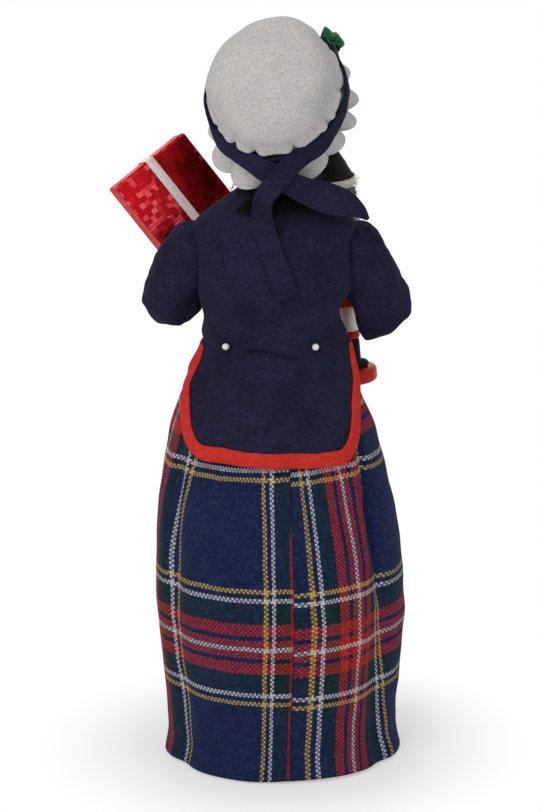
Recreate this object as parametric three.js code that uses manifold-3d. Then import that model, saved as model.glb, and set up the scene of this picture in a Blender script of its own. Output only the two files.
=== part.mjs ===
// Caroler figurine: a wire and paper doll in a felt jacket, mob cap and tartan skirt, with a wrapped
// gift on the left arm and a wooden nutcracker soldier in the right hand.
// Millimetres, +Z up. The doll faces -Y, its left side is +X, and it stands on z = 0.

import * as THREE from 'three';
import { mergeVertices } from 'three/addons/utils/BufferGeometryUtils.js';
import Module from 'manifold-3d';

const wasm = await Module();
wasm.setup();

// Clearance between pieces that touch
const fitGap = 0.3;

// Base disc
const baseRadius = 42.5;
const baseThickness = 9;
const baseChamfer = 1.2;
const socketDepth = 6;

// Wire frame
const wireRadius = 1.2;
const footSpread = 15;
const spineSpread = 2.6;

// Skirt: half widths at five heights, and how much less deep it is than wide
const hemHeight = 0.8;
const tuckHeight = 13;
const fullHeight = 70;
const waistHeight = 188;
const hipDrop = 42;
const hipHeight = waistHeight - hipDrop;
const tuckEase = 8.3;
const hemFlare = 2.2;
const fullHalfWidth = 54.7;
const hipHalfWidth = 45.2;
const skirtWaistHalfWidth = 27.6;
const skirtFlattening = 4.5;
const waistFlattening = 7.5;
const hipSway = 2.8;
const skirtWall = 1.1;
const foldDepth = 2.4;
const foldTop = hipHeight + 4;
const foldFull = fullHeight + 25;
const foldSpread = 8;
const foldAngles = [54, 97, 138, 180, 222, 262, 300];

// Jacket
const jacketWall = 1.2;
const bindingWall = 0.7;
const bindingWidth = 5.5;
const waistHalfWidth = 31.2;
const waistHalfDepth = 25;
const chestRise = 32;
const chestHeight = waistHeight + chestRise;
const chestHalfWidth = 34.5;
const chestHalfDepth = 26;
const yokeRise = 18;
const yokeHeight = chestHeight + yokeRise;
const yokeHalfWidth = 35.5;
const yokeHalfDepth = 21.5;
const slopeRise = 9;
const slopeHeight = yokeHeight + slopeRise;
const slopeHalfWidth = 27;
const slopeHalfDepth = 18;
const collarRise = 9;
const collarHeight = slopeHeight + collarRise;
const collarRadius = 13.5;
const collarTuck = 4;
const tailDrop = 45;
const tailBottom = waistHeight - tailDrop;
const tailHalfWidth = 37.5;
const tailCorner = 11;
const flapDrop = 24;
const flapBottom = waistHeight - flapDrop;
const flapCorner = 9;
const frontOpening = 0.8;
const ventHalf = 5;
const skirtEase = 0.9;

// Pearl-headed pins
const pearlRadius = 1.4;
const pinShaftRadius = 0.45;
const pinLeftX = 21;
const pinRightX = -16;
const waistPinRise = 2;
const frontPinX = 3.6;
const frontPinRise = 10;
const frontPinPitch = 28;

// Head, in its own frame at the base of the neck
const headTurn = -12;
const neckRadius = 7.5;
const neckSeat = 7;
const loopRise = 8.5;
const headHalfWidth = 18.6;
const headHalfDepth = 20.5;
const headHeight = 58;
const chinHeight = 12;
const noseRadius = 2.5;
const mouthRadius = 2.7;
const hairThickness = 3;

// Cap: a tilted ring round the head
const capTilt = 36;
const capBack = 8.8;
const capShift = -3;
const capLift = 13;
const capSideEase = 8.6;
const capTopEase = 4;
const capRise = headHeight / 2 + capLift;
const capHalfWidth = headHalfWidth + hairThickness + capSideEase;
const capHalfHeight = (headHeight - chinHeight) / 2 + hairThickness + capTopEase;
const crownDepth = 27;
const crownTaper = 2.8;
const crownGathers = 14;
const gatherDepth = 1.1;
const bandWidth = 8;
const bandWall = 1.3;
const ruffleReach = 9;
const ruffleFlare = 6;
const ruffleWall = 1.2;
const ruffleWave = 1.8;
const ruffleLobes = 18;
const tailWall = 1.2;
const tailStrip = 8.6;
const shoulderStrip = 12.5;
const shoulderTipOut = 3.5;
const shoulderTipBack = 10.5;
const shoulderTipRise = 9;

// Holly sprig on the band
const leafLength = 15;
const leafWidth = 8;
const leafWall = 0.8;
const leafSpin = 3;
const leafFan = 40;
const berryRadius = 2;
const sprigAngle = 130;

// Arms
const shoulderInset = 4.5;
const shoulderForward = 3;
const shoulderDrop = 2;
const shoulderHeight = yokeHeight - shoulderDrop;
const sleeveRadius = 13;
const elbowRadius = 12.4;
const cuffRadius = 8.6;
const sleeveWall = 1.4;
const elbowOut = 14.8;
const elbowForward = 4;
const leftElbowDrop = 29;
const rightElbowDrop = 36.5;
const armRoot = 6;
const mittenRadius = 5.6;
const palmRadius = 6.3;
const thumbRadius = 2.3;

// Gift
const giftWidth = 39;
const giftLength = 52;
const giftThickness = 22;
const giftBevel = 0.8;
const giftLean = 35.5;
const giftPitch = 13.6;
const giftYaw = 10.7;
const giftStandoff = 6.9;
const palmOut = 20.2;
const palmDrop = 26;
const ribbonWidth = 4;
const ribbonWall = 0.5;
const bowReach = 12;
const bowHeight = 7;

// Nutcracker, in its own frame at the middle of its base, facing -Y
const toyYaw = -65;
const toyLean = 4.5;
const toyOut = 29.3;
const toyStandoff = 9.4;
const toyGripDrop = 30;
const toyGrip = 50;
const toyBaseRadius = 12;
const toyBaseHeight = 6.5;
const bootRadius = 3.6;
const bootHeight = 13.5;
const toeLength = 7.5;
const toyCuffRadius = 4.3;
const toyCuffHeight = 3.5;
const legRadius = 3.5;
const legGap = 0.4;
const legSpacing = toyCuffRadius - fitGap + legGap / 2;
const legTop = 36;
const coatRadius = 9.8;
const coatTop = 70;
const beltRise = 9;
const beltHeight = 3.2;
const beltWall = 0.7;
const toyArmRadius = 2.8;
const toyArmDrop = 5;
const toyArmLength = 32;
const toyHeadRadius = 8;
const toyHeadHeight = 23;
const toyHeadTop = coatTop + toyHeadHeight;
const toyHairReach = 10.5;
const furWall = 2.4;
const hatBandHeight = 3.8;
const hatHeight = 15;
const hatFlare = 1;
const leverWidth = 4.2;
const leverWall = 2.5;
const leverBottom = 25;
const jawHeight = 5;
const jawRise = 6.5;
const jawPivot = coatTop + jawRise;
const jawOpening = 18;
const toyPinRadius = 0.9;

const degrees = THREE.MathUtils.degToRad;
const at = (x, y, z) => new THREE.Vector3(x, y, z);

// Helpers: closed geometries and cuts

function facingOut(points, faces) {
  const geometry = new THREE.BufferGeometry().setFromPoints(points);
  let volume = 0;
  const cross = new THREE.Vector3();
  for (let i = 0; i < faces.length; i += 3) {
    const [a, b, c] = faces.slice(i, i + 3).map((k) => points[k]);
    volume += a.dot(cross.crossVectors(b, c));
  }
  geometry.setIndex(volume < 0 ? faces.slice().reverse() : faces);
  return geometry;
}

function joinRings(faces, from, to, count) {
  for (let i = 0; i < count; i++) {
    const j = (i + 1) % count;
    faces.push(from + i, from + j, to + j, from + i, to + j, to + i);
  }
}

// A solid through a row of rings with equal counts, closed at both ends.
function loft(rings) {
  const count = rings[0].length;
  const points = rings.flat();
  const faces = [];
  for (let k = 0; k + 1 < rings.length; k++) {
    joinRings(faces, k * count, (k + 1) * count, count);
  }
  const middle = (ring) => ring.reduce((sum, p) => sum.add(p), at(0, 0, 0)).divideScalar(count);
  const first = points.push(middle(rings[0])) - 1;
  const last = points.push(middle(rings.at(-1))) - 1;
  const top = (rings.length - 1) * count;
  for (let i = 0; i < count; i++) {
    const j = (i + 1) % count;
    faces.push(first, j, i, last, top + i, top + j);
  }
  return facingOut(points, faces);
}

// A wall between outer and inner rows of rings, open at both ends.
function tubeWall(outer, inner) {
  const count = outer[0].length;
  return closedLoop([...outer, ...inner.slice().reverse()], count);
}

// A solid whose section travels round a closed loop.
function closedLoop(sections, count = sections[0].length) {
  const points = sections.flat();
  const faces = [];
  sections.forEach((section, k) => {
    joinRings(faces, k * count, ((k + 1) % sections.length) * count, count);
  });
  return facingOut(points, faces);
}

function bare(geometry) {
  const plain = new THREE.BufferGeometry();
  plain.setAttribute('position', geometry.getAttribute('position').clone());
  if (geometry.index) plain.setIndex(geometry.index.clone());
  const merged = mergeVertices(plain, 1e-4);
  const index = merged.index.array;
  const points = [];
  const faces = [];
  for (let i = 0; i < merged.getAttribute('position').count; i++) {
    points.push(new THREE.Vector3().fromBufferAttribute(merged.getAttribute('position'), i));
  }
  for (let i = 0; i < index.length; i += 3) {
    const [a, b, c] = index.slice(i, i + 3);
    if (a !== b && b !== c && c !== a) faces.push(a, b, c);
  }
  return facingOut(points, faces);
}

function solidOf(geometry) {
  const clean = bare(geometry);
  return new wasm.Manifold(new wasm.Mesh({
    numProp: 3,
    vertProperties: new Float32Array(clean.getAttribute('position').array),
    triVerts: new Uint32Array(clean.index.array),
  }));
}

function geometryOf(solid) {
  const mesh = solid.getMesh();
  const geometry = new THREE.BufferGeometry();
  geometry.setAttribute('position', new THREE.BufferAttribute(mesh.vertProperties.slice(), 3));
  geometry.setIndex(new THREE.BufferAttribute(mesh.triVerts.slice(), 1));
  return geometry;
}

function cut(geometry, ...tools) {
  return geometryOf(tools.reduce((solid, tool) => solid.subtract(solidOf(tool)), solidOf(geometry)));
}

function join(geometry, ...others) {
  return geometryOf(others.reduce((solid, other) => solid.add(solidOf(other)), solidOf(geometry)));
}

function common(geometry, ...others) {
  return geometryOf(others.reduce((solid, other) => solid.intersect(solidOf(other)), solidOf(geometry)));
}

// A smooth value along height through [height, size] stations, without overshoot.
function profileThrough(stations) {
  const rise = stations.slice(1).map(([h, v], i) => (v - stations[i][1]) / (h - stations[i][0]));
  const slope = stations.map((station, i) => {
    const below = rise[Math.max(i - 1, 0)];
    const above = rise[Math.min(i, rise.length - 1)];
    return below * above > 0 ? (2 * below * above) / (below + above) : 0;
  });
  return (height) => {
    let i = stations.findIndex(([h]) => h > height) - 1;
    if (i === -2) i = stations.length - 2;
    i = Math.max(i, 0);
    const [h0, v0] = stations[i];
    const [h1, v1] = stations[i + 1];
    const span = h1 - h0;
    const t = THREE.MathUtils.clamp((height - h0) / span, 0, 1);
    const s = 1 - t;
    return v0 * (1 + 2 * t) * s * s + slope[i] * span * t * s * s
      + v1 * t * t * (3 - 2 * t) - slope[i + 1] * span * s * t * t;
  };
}

function ellipseRing(count, halfWidth, halfDepth, height, middleY = 0, middleX = 0) {
  return Array.from({ length: count }, (_, i) => {
    const angle = (i / count) * 2 * Math.PI;
    return at(middleX + halfWidth * Math.cos(angle), middleY + halfDepth * Math.sin(angle), height);
  });
}

// A turned piece on the Z axis from [radius, height] stations.
function turned(stations, segments = 18) {
  const profile = stations.map(([radius, height]) => new THREE.Vector2(radius, height));
  return bare(new THREE.LatheGeometry(profile, segments).rotateX(Math.PI / 2));
}

function cylinder(radius, bottom, top, segments = 16) {
  return turned([[0, bottom], [radius, bottom], [radius, top], [0, top]], segments);
}

function box(x0, x1, y0, y1, z0, z1) {
  const geometry = new THREE.BoxGeometry(x1 - x0, y1 - y0, z1 - z0);
  return geometry.translate((x0 + x1) / 2, (y0 + y1) / 2, (z0 + z1) / 2);
}

function ball(radius, place, across = 10, up = 7) {
  return new THREE.SphereGeometry(radius, across, up).translate(place.x, place.y, place.z);
}

// Points the Z axis of a geometry along a direction and moves it to a place.
function aimed(geometry, direction, place) {
  const turn = new THREE.Quaternion().setFromUnitVectors(at(0, 0, 1), direction.clone().normalize());
  return geometry.applyQuaternion(turn).translate(place.x, place.y, place.z);
}

function wire(path, radius, steps, sides = 6) {
  const round = new THREE.Shape(Array.from({ length: sides }, (_, i) => {
    const angle = (i / sides) * 2 * Math.PI;
    return new THREE.Vector2(radius * Math.cos(angle), radius * Math.sin(angle));
  }));
  return new THREE.ExtrudeGeometry(round, { steps, extrudePath: path, bevelEnabled: false });
}

// A round limb along a smooth path, with its radius given at even steps.
function limb(path, radii, sides = 12) {
  const curve = new THREE.CatmullRomCurve3(path, false, 'centripetal');
  const steps = radii.length - 1;
  const frames = curve.computeFrenetFrames(steps, false);
  const rings = radii.map((radius, k) => {
    const centre = curve.getPointAt(k / steps);
    return Array.from({ length: sides }, (_, i) => {
      const angle = (i / sides) * 2 * Math.PI;
      return centre.clone()
        .addScaledVector(frames.normals[k], radius * Math.cos(angle))
        .addScaledVector(frames.binormals[k], radius * Math.sin(angle));
    });
  });
  return loft(rings);
}

// A flat strip of cloth through stations of middle, half-width vector and half-wall vector.
function strip(stations) {
  return loft(stations.map(([middle, across, through]) => [
    middle.clone().sub(across).sub(through),
    middle.clone().add(across).sub(through),
    middle.clone().add(across).add(through),
    middle.clone().sub(across).add(through),
  ]));
}

const figure = new THREE.Group();

function piece(parent, name, geometry, color, roughness = 0.9, metalness = 0) {
  const material = new THREE.MeshStandardMaterial({ color, roughness, metalness });
  const mesh = new THREE.Mesh(geometry, material);
  mesh.name = name;
  parent.add(mesh);
  return mesh;
}

const navy = '#24233a';
const red = '#b42f28';
const grey = '#b9b6b3';
const skin = '#e2b394';
const paper = '#cdbfa6';
const steel = '#8d9094';
const pearl = '#f1efe8';
const green = '#0f3a22';
const gloss = '#a8301d';
const black = '#15131a';
const white = '#ebe8e0';

// Skirt form

const tuckHalfWidth = baseRadius + tuckEase;
const skirtHalfWidth = profileThrough([
  [hemHeight, tuckHalfWidth + hemFlare],
  [tuckHeight, tuckHalfWidth],
  [fullHeight, fullHalfWidth],
  [hipHeight, hipHalfWidth],
  [waistHeight, skirtWaistHalfWidth],
]);
const skirtDepthLoss = profileThrough([
  [hemHeight, skirtFlattening],
  [hipHeight, skirtFlattening],
  [waistHeight, waistFlattening],
]);
const skirtHalfDepth = (height) => skirtHalfWidth(height) - skirtDepthLoss(height);

// The hips lean a little to the left between the full part and the waist.
const swayAt = profileThrough([
  [fullHeight, 0], [(2 * hipHeight + waistHeight) / 3, hipSway], [waistHeight, 0],
]);

function foldAt(angle, height) {
  const grown = THREE.MathUtils.smoothstep(foldTop - height, 0, foldTop - foldFull);
  const turn = THREE.MathUtils.radToDeg(angle) - 90;
  return foldAngles.reduce((sum, fold) => {
    const away = THREE.MathUtils.euclideanModulo(turn - fold + 180, 360) - 180;
    return sum + foldDepth * grown * Math.exp(-((away / foldSpread) ** 2));
  }, 0);
}

function skirtRing(height, inset, count = 48) {
  return Array.from({ length: count }, (_, i) => {
    const angle = (i / count) * 2 * Math.PI;
    const inside = inset + foldAt(angle, height);
    const x = (skirtHalfWidth(height) - inside) * Math.cos(angle);
    const y = (skirtHalfDepth(height) - inside) * Math.sin(angle);
    return at(x + swayAt(height), y, height);
  });
}

const skirtHeights = [
  hemHeight,
  tuckHeight,
  (tuckHeight + fullHeight) / 2,
  fullHeight,
  (2 * fullHeight + hipHeight) / 3,
  (fullHeight + 2 * hipHeight) / 3,
  hipHeight,
  (hipHeight + waistHeight) / 2,
  waistHeight,
];
const skirt = tubeWall(
  skirtHeights.map((height) => skirtRing(height, 0)),
  skirtHeights.map((height) => skirtRing(height, skirtWall)),
);
piece(figure, 'skirt', skirt, '#26304f', 0.95);

// Base disc and wire frame

const socketFloor = baseThickness - socketDepth;
const neckLoop = collarHeight + loopRise;
const loopMiddle = neckLoop - wireRadius - spineSpread;
const legLine = new THREE.CatmullRomCurve3([
  at(footSpread, 0, socketFloor + fitGap),
  at(footSpread, 0, baseThickness + 8),
  at(footSpread * 0.9, 0, fullHeight),
  at(spineSpread * 2.6, 0, hipHeight),
  at(spineSpread, 0, waistHeight + 6),
  at(spineSpread, 0, chestHeight),
  at(spineSpread, 0, loopMiddle - 2),
], false, 'centripetal').getPoints(12);
const loopArc = [0, 45, 90, 135, 180].map((angle) => at(
  spineSpread * Math.cos(degrees(angle)), 0, loopMiddle + spineSpread * Math.sin(degrees(angle)),
));
const mirrored = legLine.map((p) => at(-p.x, p.y, p.z)).reverse();
const framePath = [...legLine, ...loopArc, ...mirrored];

// A round rod whose path lies in the XZ plane.
function flatRod(path, radius, sides = 6) {
  return loft(path.map((centre, k) => {
    const before = path[Math.max(k - 1, 0)];
    const after = path[Math.min(k + 1, path.length - 1)];
    const along = after.clone().sub(before).normalize();
    const across = at(along.z, 0, -along.x);
    return Array.from({ length: sides }, (_, i) => {
      const angle = (i / sides) * 2 * Math.PI;
      return centre.clone().addScaledVector(across, radius * Math.cos(angle))
        .add(at(0, radius * Math.sin(angle), 0));
    });
  }));
}
const frameWire = flatRod(framePath, wireRadius);
const frameBore = flatRod(framePath, wireRadius + fitGap);
piece(figure, 'frame_wire', frameWire, steel, 0.4, 0.9);

const disc = turned([
  [0, 0],
  [baseRadius - baseChamfer, 0],
  [baseRadius, baseChamfer],
  [baseRadius, baseThickness - baseChamfer],
  [baseRadius - baseChamfer, baseThickness],
  [0, baseThickness],
], 32);
const sockets = [-1, 1].map((side) => cylinder(wireRadius + fitGap, socketFloor, baseThickness + 1, 8)
  .translate(side * footSpread, 0, 0));
piece(figure, 'base_disc', cut(disc, ...sockets), '#8a6a48', 0.7);

const stuffingHeights = [
  baseThickness + fitGap, tuckHeight, fullHeight, (fullHeight + hipHeight) / 2, hipHeight, waistHeight,
];
const stuffingInset = skirtWall + foldDepth + fitGap;
const skirtStuffing = loft(stuffingHeights.map((height) => ellipseRing(
  20,
  skirtHalfWidth(height) - stuffingInset,
  skirtHalfDepth(height) - stuffingInset,
  height,
  0,
  swayAt(height),
)));
piece(figure, 'skirt_stuffing', cut(skirtStuffing, frameBore), paper, 0.95);

// Arm lines

const shoulderOut = yokeHalfWidth - shoulderInset;
const leftShoulder = at(shoulderOut, -shoulderForward, shoulderHeight);
const rightShoulder = at(-shoulderOut, -shoulderForward, shoulderHeight);
const leftElbow = leftShoulder.clone().add(at(elbowOut, -elbowForward, -leftElbowDrop));
const rightElbow = rightShoulder.clone().add(at(-elbowOut, -elbowForward, -rightElbowDrop));

const giftForward = chestHalfDepth + giftThickness / 2 + giftStandoff;
const leftPalm = at(palmOut, -giftForward, shoulderHeight - palmDrop);
const leftCuff = leftPalm.clone().lerp(leftElbow, 0.38).add(at(0, 0, -3));

const toyForward = chestHalfDepth + coatRadius + toyStandoff;
const toyAxis = at(-toyOut, -toyForward, shoulderHeight - toyGripDrop);
const gripRadius = coatRadius + fitGap + mittenRadius;
const gripPoint = (angle) => toyAxis.clone()
  .add(at(gripRadius * Math.cos(degrees(angle)), gripRadius * Math.sin(degrees(angle)), 0));
const cuffReach = coatRadius + cuffRadius + 4;
const rightCuff = toyAxis.clone().add(at(-0.74 * cuffReach, 0.67 * cuffReach, 0));

// Upper sleeve: round about the line from shoulder to elbow, so that it can turn in its armhole.
function upperSleeve(shoulder, elbow, grow) {
  const length = shoulder.distanceTo(elbow);
  const stations = [
    [0, -2 - grow],
    [sleeveRadius * 0.7 + grow, 1 - grow],
    [sleeveRadius * 0.93 + grow, 6 - grow],
    [sleeveRadius + grow, 14],
    [sleeveRadius + grow, length - 9],
    [elbowRadius + grow, length],
    [elbowRadius * 0.8 + grow, length + elbowRadius * 0.6],
    [0, length + elbowRadius + grow],
  ];
  return aimed(turned(stations, 16), elbow.clone().sub(shoulder), shoulder);
}

function forearmSleeve(elbow, cuff, grow = 0, past = 0) {
  const end = cuff.clone().add(cuff.clone().sub(elbow).setLength(past));
  const radii = [elbowRadius * 0.93, elbowRadius * 0.97, cuffRadius * 1.08, cuffRadius];
  return limb([elbow, elbow.clone().lerp(end, 0.5), end], radii.map((radius) => radius + grow), 14);
}

// Jacket form

const peplumLift = jacketWall + bindingWall + fitGap + skirtEase;
const overSkirtWidth = (height) => Math.max(waistHalfWidth, skirtHalfWidth(height) + peplumLift);
const overSkirtDepth = (height) => Math.max(waistHalfDepth, skirtHalfDepth(height) + peplumLift);
const bodiceWidth = profileThrough([
  [waistHeight, overSkirtWidth(waistHeight)],
  [chestHeight, chestHalfWidth],
  [yokeHeight, yokeHalfWidth],
  [slopeHeight, slopeHalfWidth],
  [collarHeight, collarRadius],
]);
const bodiceDepth = profileThrough([
  [waistHeight, overSkirtDepth(waistHeight)],
  [chestHeight, chestHalfDepth],
  [yokeHeight, yokeHalfDepth],
  [slopeHeight, slopeHalfDepth],
  [collarHeight, collarRadius],
]);

function jacketRing(height, outset, count = 28) {
  const below = height <= waistHeight;
  const halfWidth = below ? overSkirtWidth(height) : bodiceWidth(height);
  const halfDepth = below ? overSkirtDepth(height) : bodiceDepth(height);
  const middle = below ? swayAt(height) : 0;
  return ellipseRing(count, halfWidth + outset, halfDepth + outset, height, 0, middle);
}

const jacketHeights = [
  tailBottom - 2,
  hipHeight,
  (hipHeight + waistHeight) / 2,
  waistHeight - 6,
  waistHeight,
  chestHeight,
  yokeHeight,
  slopeHeight,
  collarHeight - collarTuck,
  collarHeight,
].sort((a, b) => a - b);

function jacketShell(grow) {
  return tubeWall(
    jacketHeights.map((height) => jacketRing(height, grow)),
    jacketHeights.map((height) => jacketRing(height, -jacketWall - grow)),
  );
}

function bodiceSolid(grow) {
  const heights = jacketHeights.filter((height) => height >= waistHeight);
  return loft(heights.map((height) => jacketRing(height, grow)));
}

// Outline in the XZ plane with round lower corners, extruded along Y.
function hangingPanel(x0, x1, bottom, top, corner, y0, y1) {
  const outline = new THREE.Shape();
  outline.moveTo(x0, top);
  outline.lineTo(x0, bottom + corner);
  outline.quadraticCurveTo(x0, bottom, x0 + corner, bottom);
  outline.lineTo(x1 - corner, bottom);
  outline.quadraticCurveTo(x1, bottom, x1, bottom + corner);
  outline.lineTo(x1, top);
  const solid = new THREE.ExtrudeGeometry(outline, { depth: y1 - y0, bevelEnabled: false, curveSegments: 5 });
  return solid.rotateX(Math.PI / 2).translate(0, y1, 0);
}

// The straight root of each arm wire, in line with the upper arm
const rootOf = (shoulder, elbow, extra) => shoulder.clone()
  .add(shoulder.clone().sub(elbow).setLength(armRoot + extra));

function rootBore(shoulder, elbow) {
  const from = rootOf(shoulder, elbow, fitGap);
  return aimed(cylinder(wireRadius + fitGap, 0, from.distanceTo(elbow), 6), elbow.clone().sub(from), from);
}

const leftRootBore = rootBore(leftShoulder, leftElbow);
const rightRootBore = rootBore(rightShoulder, rightElbow);
const leftArmhole = join(upperSleeve(leftShoulder, leftElbow, fitGap), leftRootBore);
const rightArmhole = join(upperSleeve(rightShoulder, rightElbow, fitGap), rightRootBore);
const reach = 2 * (fullHalfWidth + peplumLift);
const thinShell = jacketShell(0);
const slotShell = jacketShell(fitGap);
const bindingShell = jacketShell(fitGap + bindingWall);
const edgeInset = bindingWall + fitGap;
const bindingTop = waistHeight - 2;

// Pearl pin pointing into the jacket, with the hole that it needs.
function pearlPin(x, height, back) {
  const halfWidth = bodiceWidth(height);
  const halfDepth = bodiceDepth(height);
  const side = back ? 1 : -1;
  const y = side * halfDepth * Math.sqrt(1 - (x / halfWidth) ** 2);
  const out = at(x / halfWidth ** 2, y / halfDepth ** 2, 0).normalize();
  const seat = at(x, y, height);
  const head = ball(pearlRadius, at(0, 0, pearlRadius + fitGap));
  const shaft = cylinder(pinShaftRadius, -jacketWall * 0.8, pearlRadius, 6);
  return {
    pin: aimed(join(head, shaft), out, seat),
    hole: aimed(cylinder(pinShaftRadius + fitGap, -2 * jacketWall, jacketWall, 6), out, seat),
  };
}

const leftPin = pearlPin(pinLeftX, waistHeight + waistPinRise, true);
const rightPin = pearlPin(pinRightX, waistHeight + waistPinRise, true);
const lowPin = pearlPin(frontPinX, waistHeight + frontPinRise, false);
const highPin = pearlPin(frontPinX, waistHeight + frontPinRise + frontPinPitch, false);

const backUpper = box(-reach, reach, fitGap / 2, reach, bindingTop, collarHeight + 1);
const backTail = hangingPanel(
  hipSway - tailHalfWidth + edgeInset, hipSway + tailHalfWidth - edgeInset, tailBottom + edgeInset,
  bindingTop + 1, tailCorner - edgeInset, ventHalf, reach,
);
const backPanel = cut(
  common(thinShell, join(backUpper, backTail)), leftArmhole, rightArmhole, leftPin.hole, rightPin.hole,
);
piece(figure, 'jacket_back', backPanel, navy, 0.95);

const slotTail = hangingPanel(
  hipSway - tailHalfWidth + bindingWall, hipSway + tailHalfWidth - bindingWall, tailBottom + bindingWall,
  bindingTop + 1, tailCorner - bindingWall, ventHalf - fitGap, reach,
);
const tailFrame = cut(
  hangingPanel(
    hipSway - tailHalfWidth, hipSway + tailHalfWidth, tailBottom, bindingTop - fitGap, tailCorner,
    ventHalf, reach,
  ),
  hangingPanel(
    hipSway - tailHalfWidth + bindingWidth, hipSway + tailHalfWidth - bindingWidth, tailBottom + bindingWidth,
    bindingTop + 1, tailCorner - bindingWidth, ventHalf - 1, reach + 1,
  ),
);
const backBinding = cut(common(bindingShell, tailFrame), common(slotShell, slotTail));
piece(figure, 'binding_back', backBinding, red, 0.9);

function frontPanel(side, holes) {
  const inner = side * frontOpening / 2;
  const outer = side * tailHalfWidth;
  const limits = (inset) => [inner + side * inset, outer - side * inset].sort((a, b) => a - b);
  const far = side * reach;
  const [u0, u1] = [inner, far].sort((a, b) => a - b);
  const upper = box(u0, u1, -reach, -fitGap / 2, bindingTop, collarHeight + 1);
  const flap = (inset, bottom, top, corner, back, front) => hangingPanel(
    ...limits(inset), bottom, top, corner, front, back,
  );
  const panelFlap = flap(
    edgeInset, flapBottom + edgeInset, bindingTop + 1, flapCorner - edgeInset, -ventHalf, -reach,
  );
  const slotFlap = flap(
    bindingWall, flapBottom + bindingWall, bindingTop + 1, flapCorner - bindingWall,
    fitGap - ventHalf, -reach,
  );
  const frame = cut(
    flap(0, flapBottom, bindingTop - fitGap, flapCorner, -ventHalf, -reach),
    flap(
      bindingWidth, flapBottom + bindingWidth, bindingTop + 1, flapCorner - bindingWidth,
      1 - ventHalf, -reach - 1,
    ),
  );
  const panel = cut(common(thinShell, join(upper, panelFlap)), leftArmhole, rightArmhole, ...holes);
  const binding = cut(common(bindingShell, frame), common(slotShell, slotFlap));
  return { panel, binding };
}

const frontLeft = frontPanel(1, [lowPin.hole, highPin.hole]);
const frontRight = frontPanel(-1, []);
piece(figure, 'jacket_front_left', frontLeft.panel, navy, 0.95);
piece(figure, 'jacket_front_right', frontRight.panel, navy, 0.95);
piece(figure, 'binding_front_left', frontLeft.binding, red, 0.9);
piece(figure, 'binding_front_right', frontRight.binding, red, 0.9);
piece(figure, 'waist_pin_left', leftPin.pin, pearl, 0.25);
piece(figure, 'waist_pin_right', rightPin.pin, pearl, 0.25);
piece(figure, 'front_pin_low', lowPin.pin, pearl, 0.25);
piece(figure, 'front_pin_high', highPin.pin, pearl, 0.25);

// Packed torso, with bores in which the arm wires turn

const torsoHeights = jacketHeights.filter((height) => height >= waistHeight && height < collarHeight);
const torsoRings = torsoHeights.map((height, k) => jacketRing(
  k ? height : waistHeight + fitGap, -jacketWall - 2 * fitGap, 20,
));
const torso = cut(
  loft(torsoRings),
  frameBore,
  leftArmhole,
  rightArmhole,
  cylinder(neckRadius + fitGap, collarHeight - neckSeat - fitGap, collarHeight + 1, 16),
);
piece(figure, 'torso_stuffing', torso, paper, 0.95);

// Head group at the base of the neck

const head = new THREE.Group();
head.position.set(0, 0, collarHeight);
head.rotation.z = degrees(headTurn);
figure.add(head);

function headForm(grow) {
  const h = headHeight;
  const w = headHalfWidth;
  const d = headHalfDepth;
  const c = chinHeight;
  const rings = [
    [-neckSeat - grow, neckRadius, neckRadius, 0],
    [c - 6, neckRadius - 0.3, neckRadius - 0.3, 0],
    [c, w * 0.54, d * 0.58, -d * 0.14],
    [c + 6, w * 0.8, d * 0.85, -d * 0.17],
    [c + (h - c) * 0.33, w * 0.95, d * 0.97, -d * 0.15],
    [c + (h - c) * 0.56, w, d, -d * 0.12],
    [c + (h - c) * 0.74, w * 0.94, d * 0.95, -d * 0.1],
    [c + (h - c) * 0.9, w * 0.7, d * 0.73, -d * 0.07],
    [h + grow, w * 0.26, d * 0.27, -d * 0.05],
  ];
  return loft(rings.map(([z, a, b, y]) => ellipseRing(20, a + grow, b + grow, z, y)));
}

const faceFront = -headHalfDepth * 1.13;
const mouthRise = chinHeight + 8;
const noseRise = chinHeight + 17;
const nose = new THREE.SphereGeometry(noseRadius, 10, 7).scale(0.95, 1.1, 1.15)
  .translate(0, faceFront, noseRise);
const mouth = new THREE.SphereGeometry(mouthRadius, 10, 7).scale(1, 1, 0.85)
  .translate(0, -headHalfDepth * 1.06, mouthRise);
const neckBore = cylinder(spineSpread + wireRadius + 2 * fitGap, -neckSeat - 1, loopRise + fitGap, 12);
piece(head, 'head', cut(join(headForm(0), nose), mouth, neckBore), skin, 0.6);

// Cap frame: X across, V up the tilted ring, N out of the back of the head

const tilt = degrees(capTilt);
const ringUp = at(0, -Math.sin(tilt), Math.cos(tilt));
const ringBack = at(0, Math.cos(tilt), Math.sin(tilt));
const ringCentre = at(capShift, capBack, capRise);
const capPoint = (x, v, n) => ringCentre.clone().add(at(x, 0, 0))
  .addScaledVector(ringUp, v).addScaledVector(ringBack, n);

function capRing(halfWidth, halfHeight, n, count, wave = 0) {
  return Array.from({ length: count }, (_, i) => {
    const angle = (i / count) * 2 * Math.PI;
    const out = wave * Math.cos(crownGathers * angle);
    return capPoint((halfWidth + out) * Math.cos(angle), (halfHeight + out) * Math.sin(angle), n);
  });
}

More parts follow.
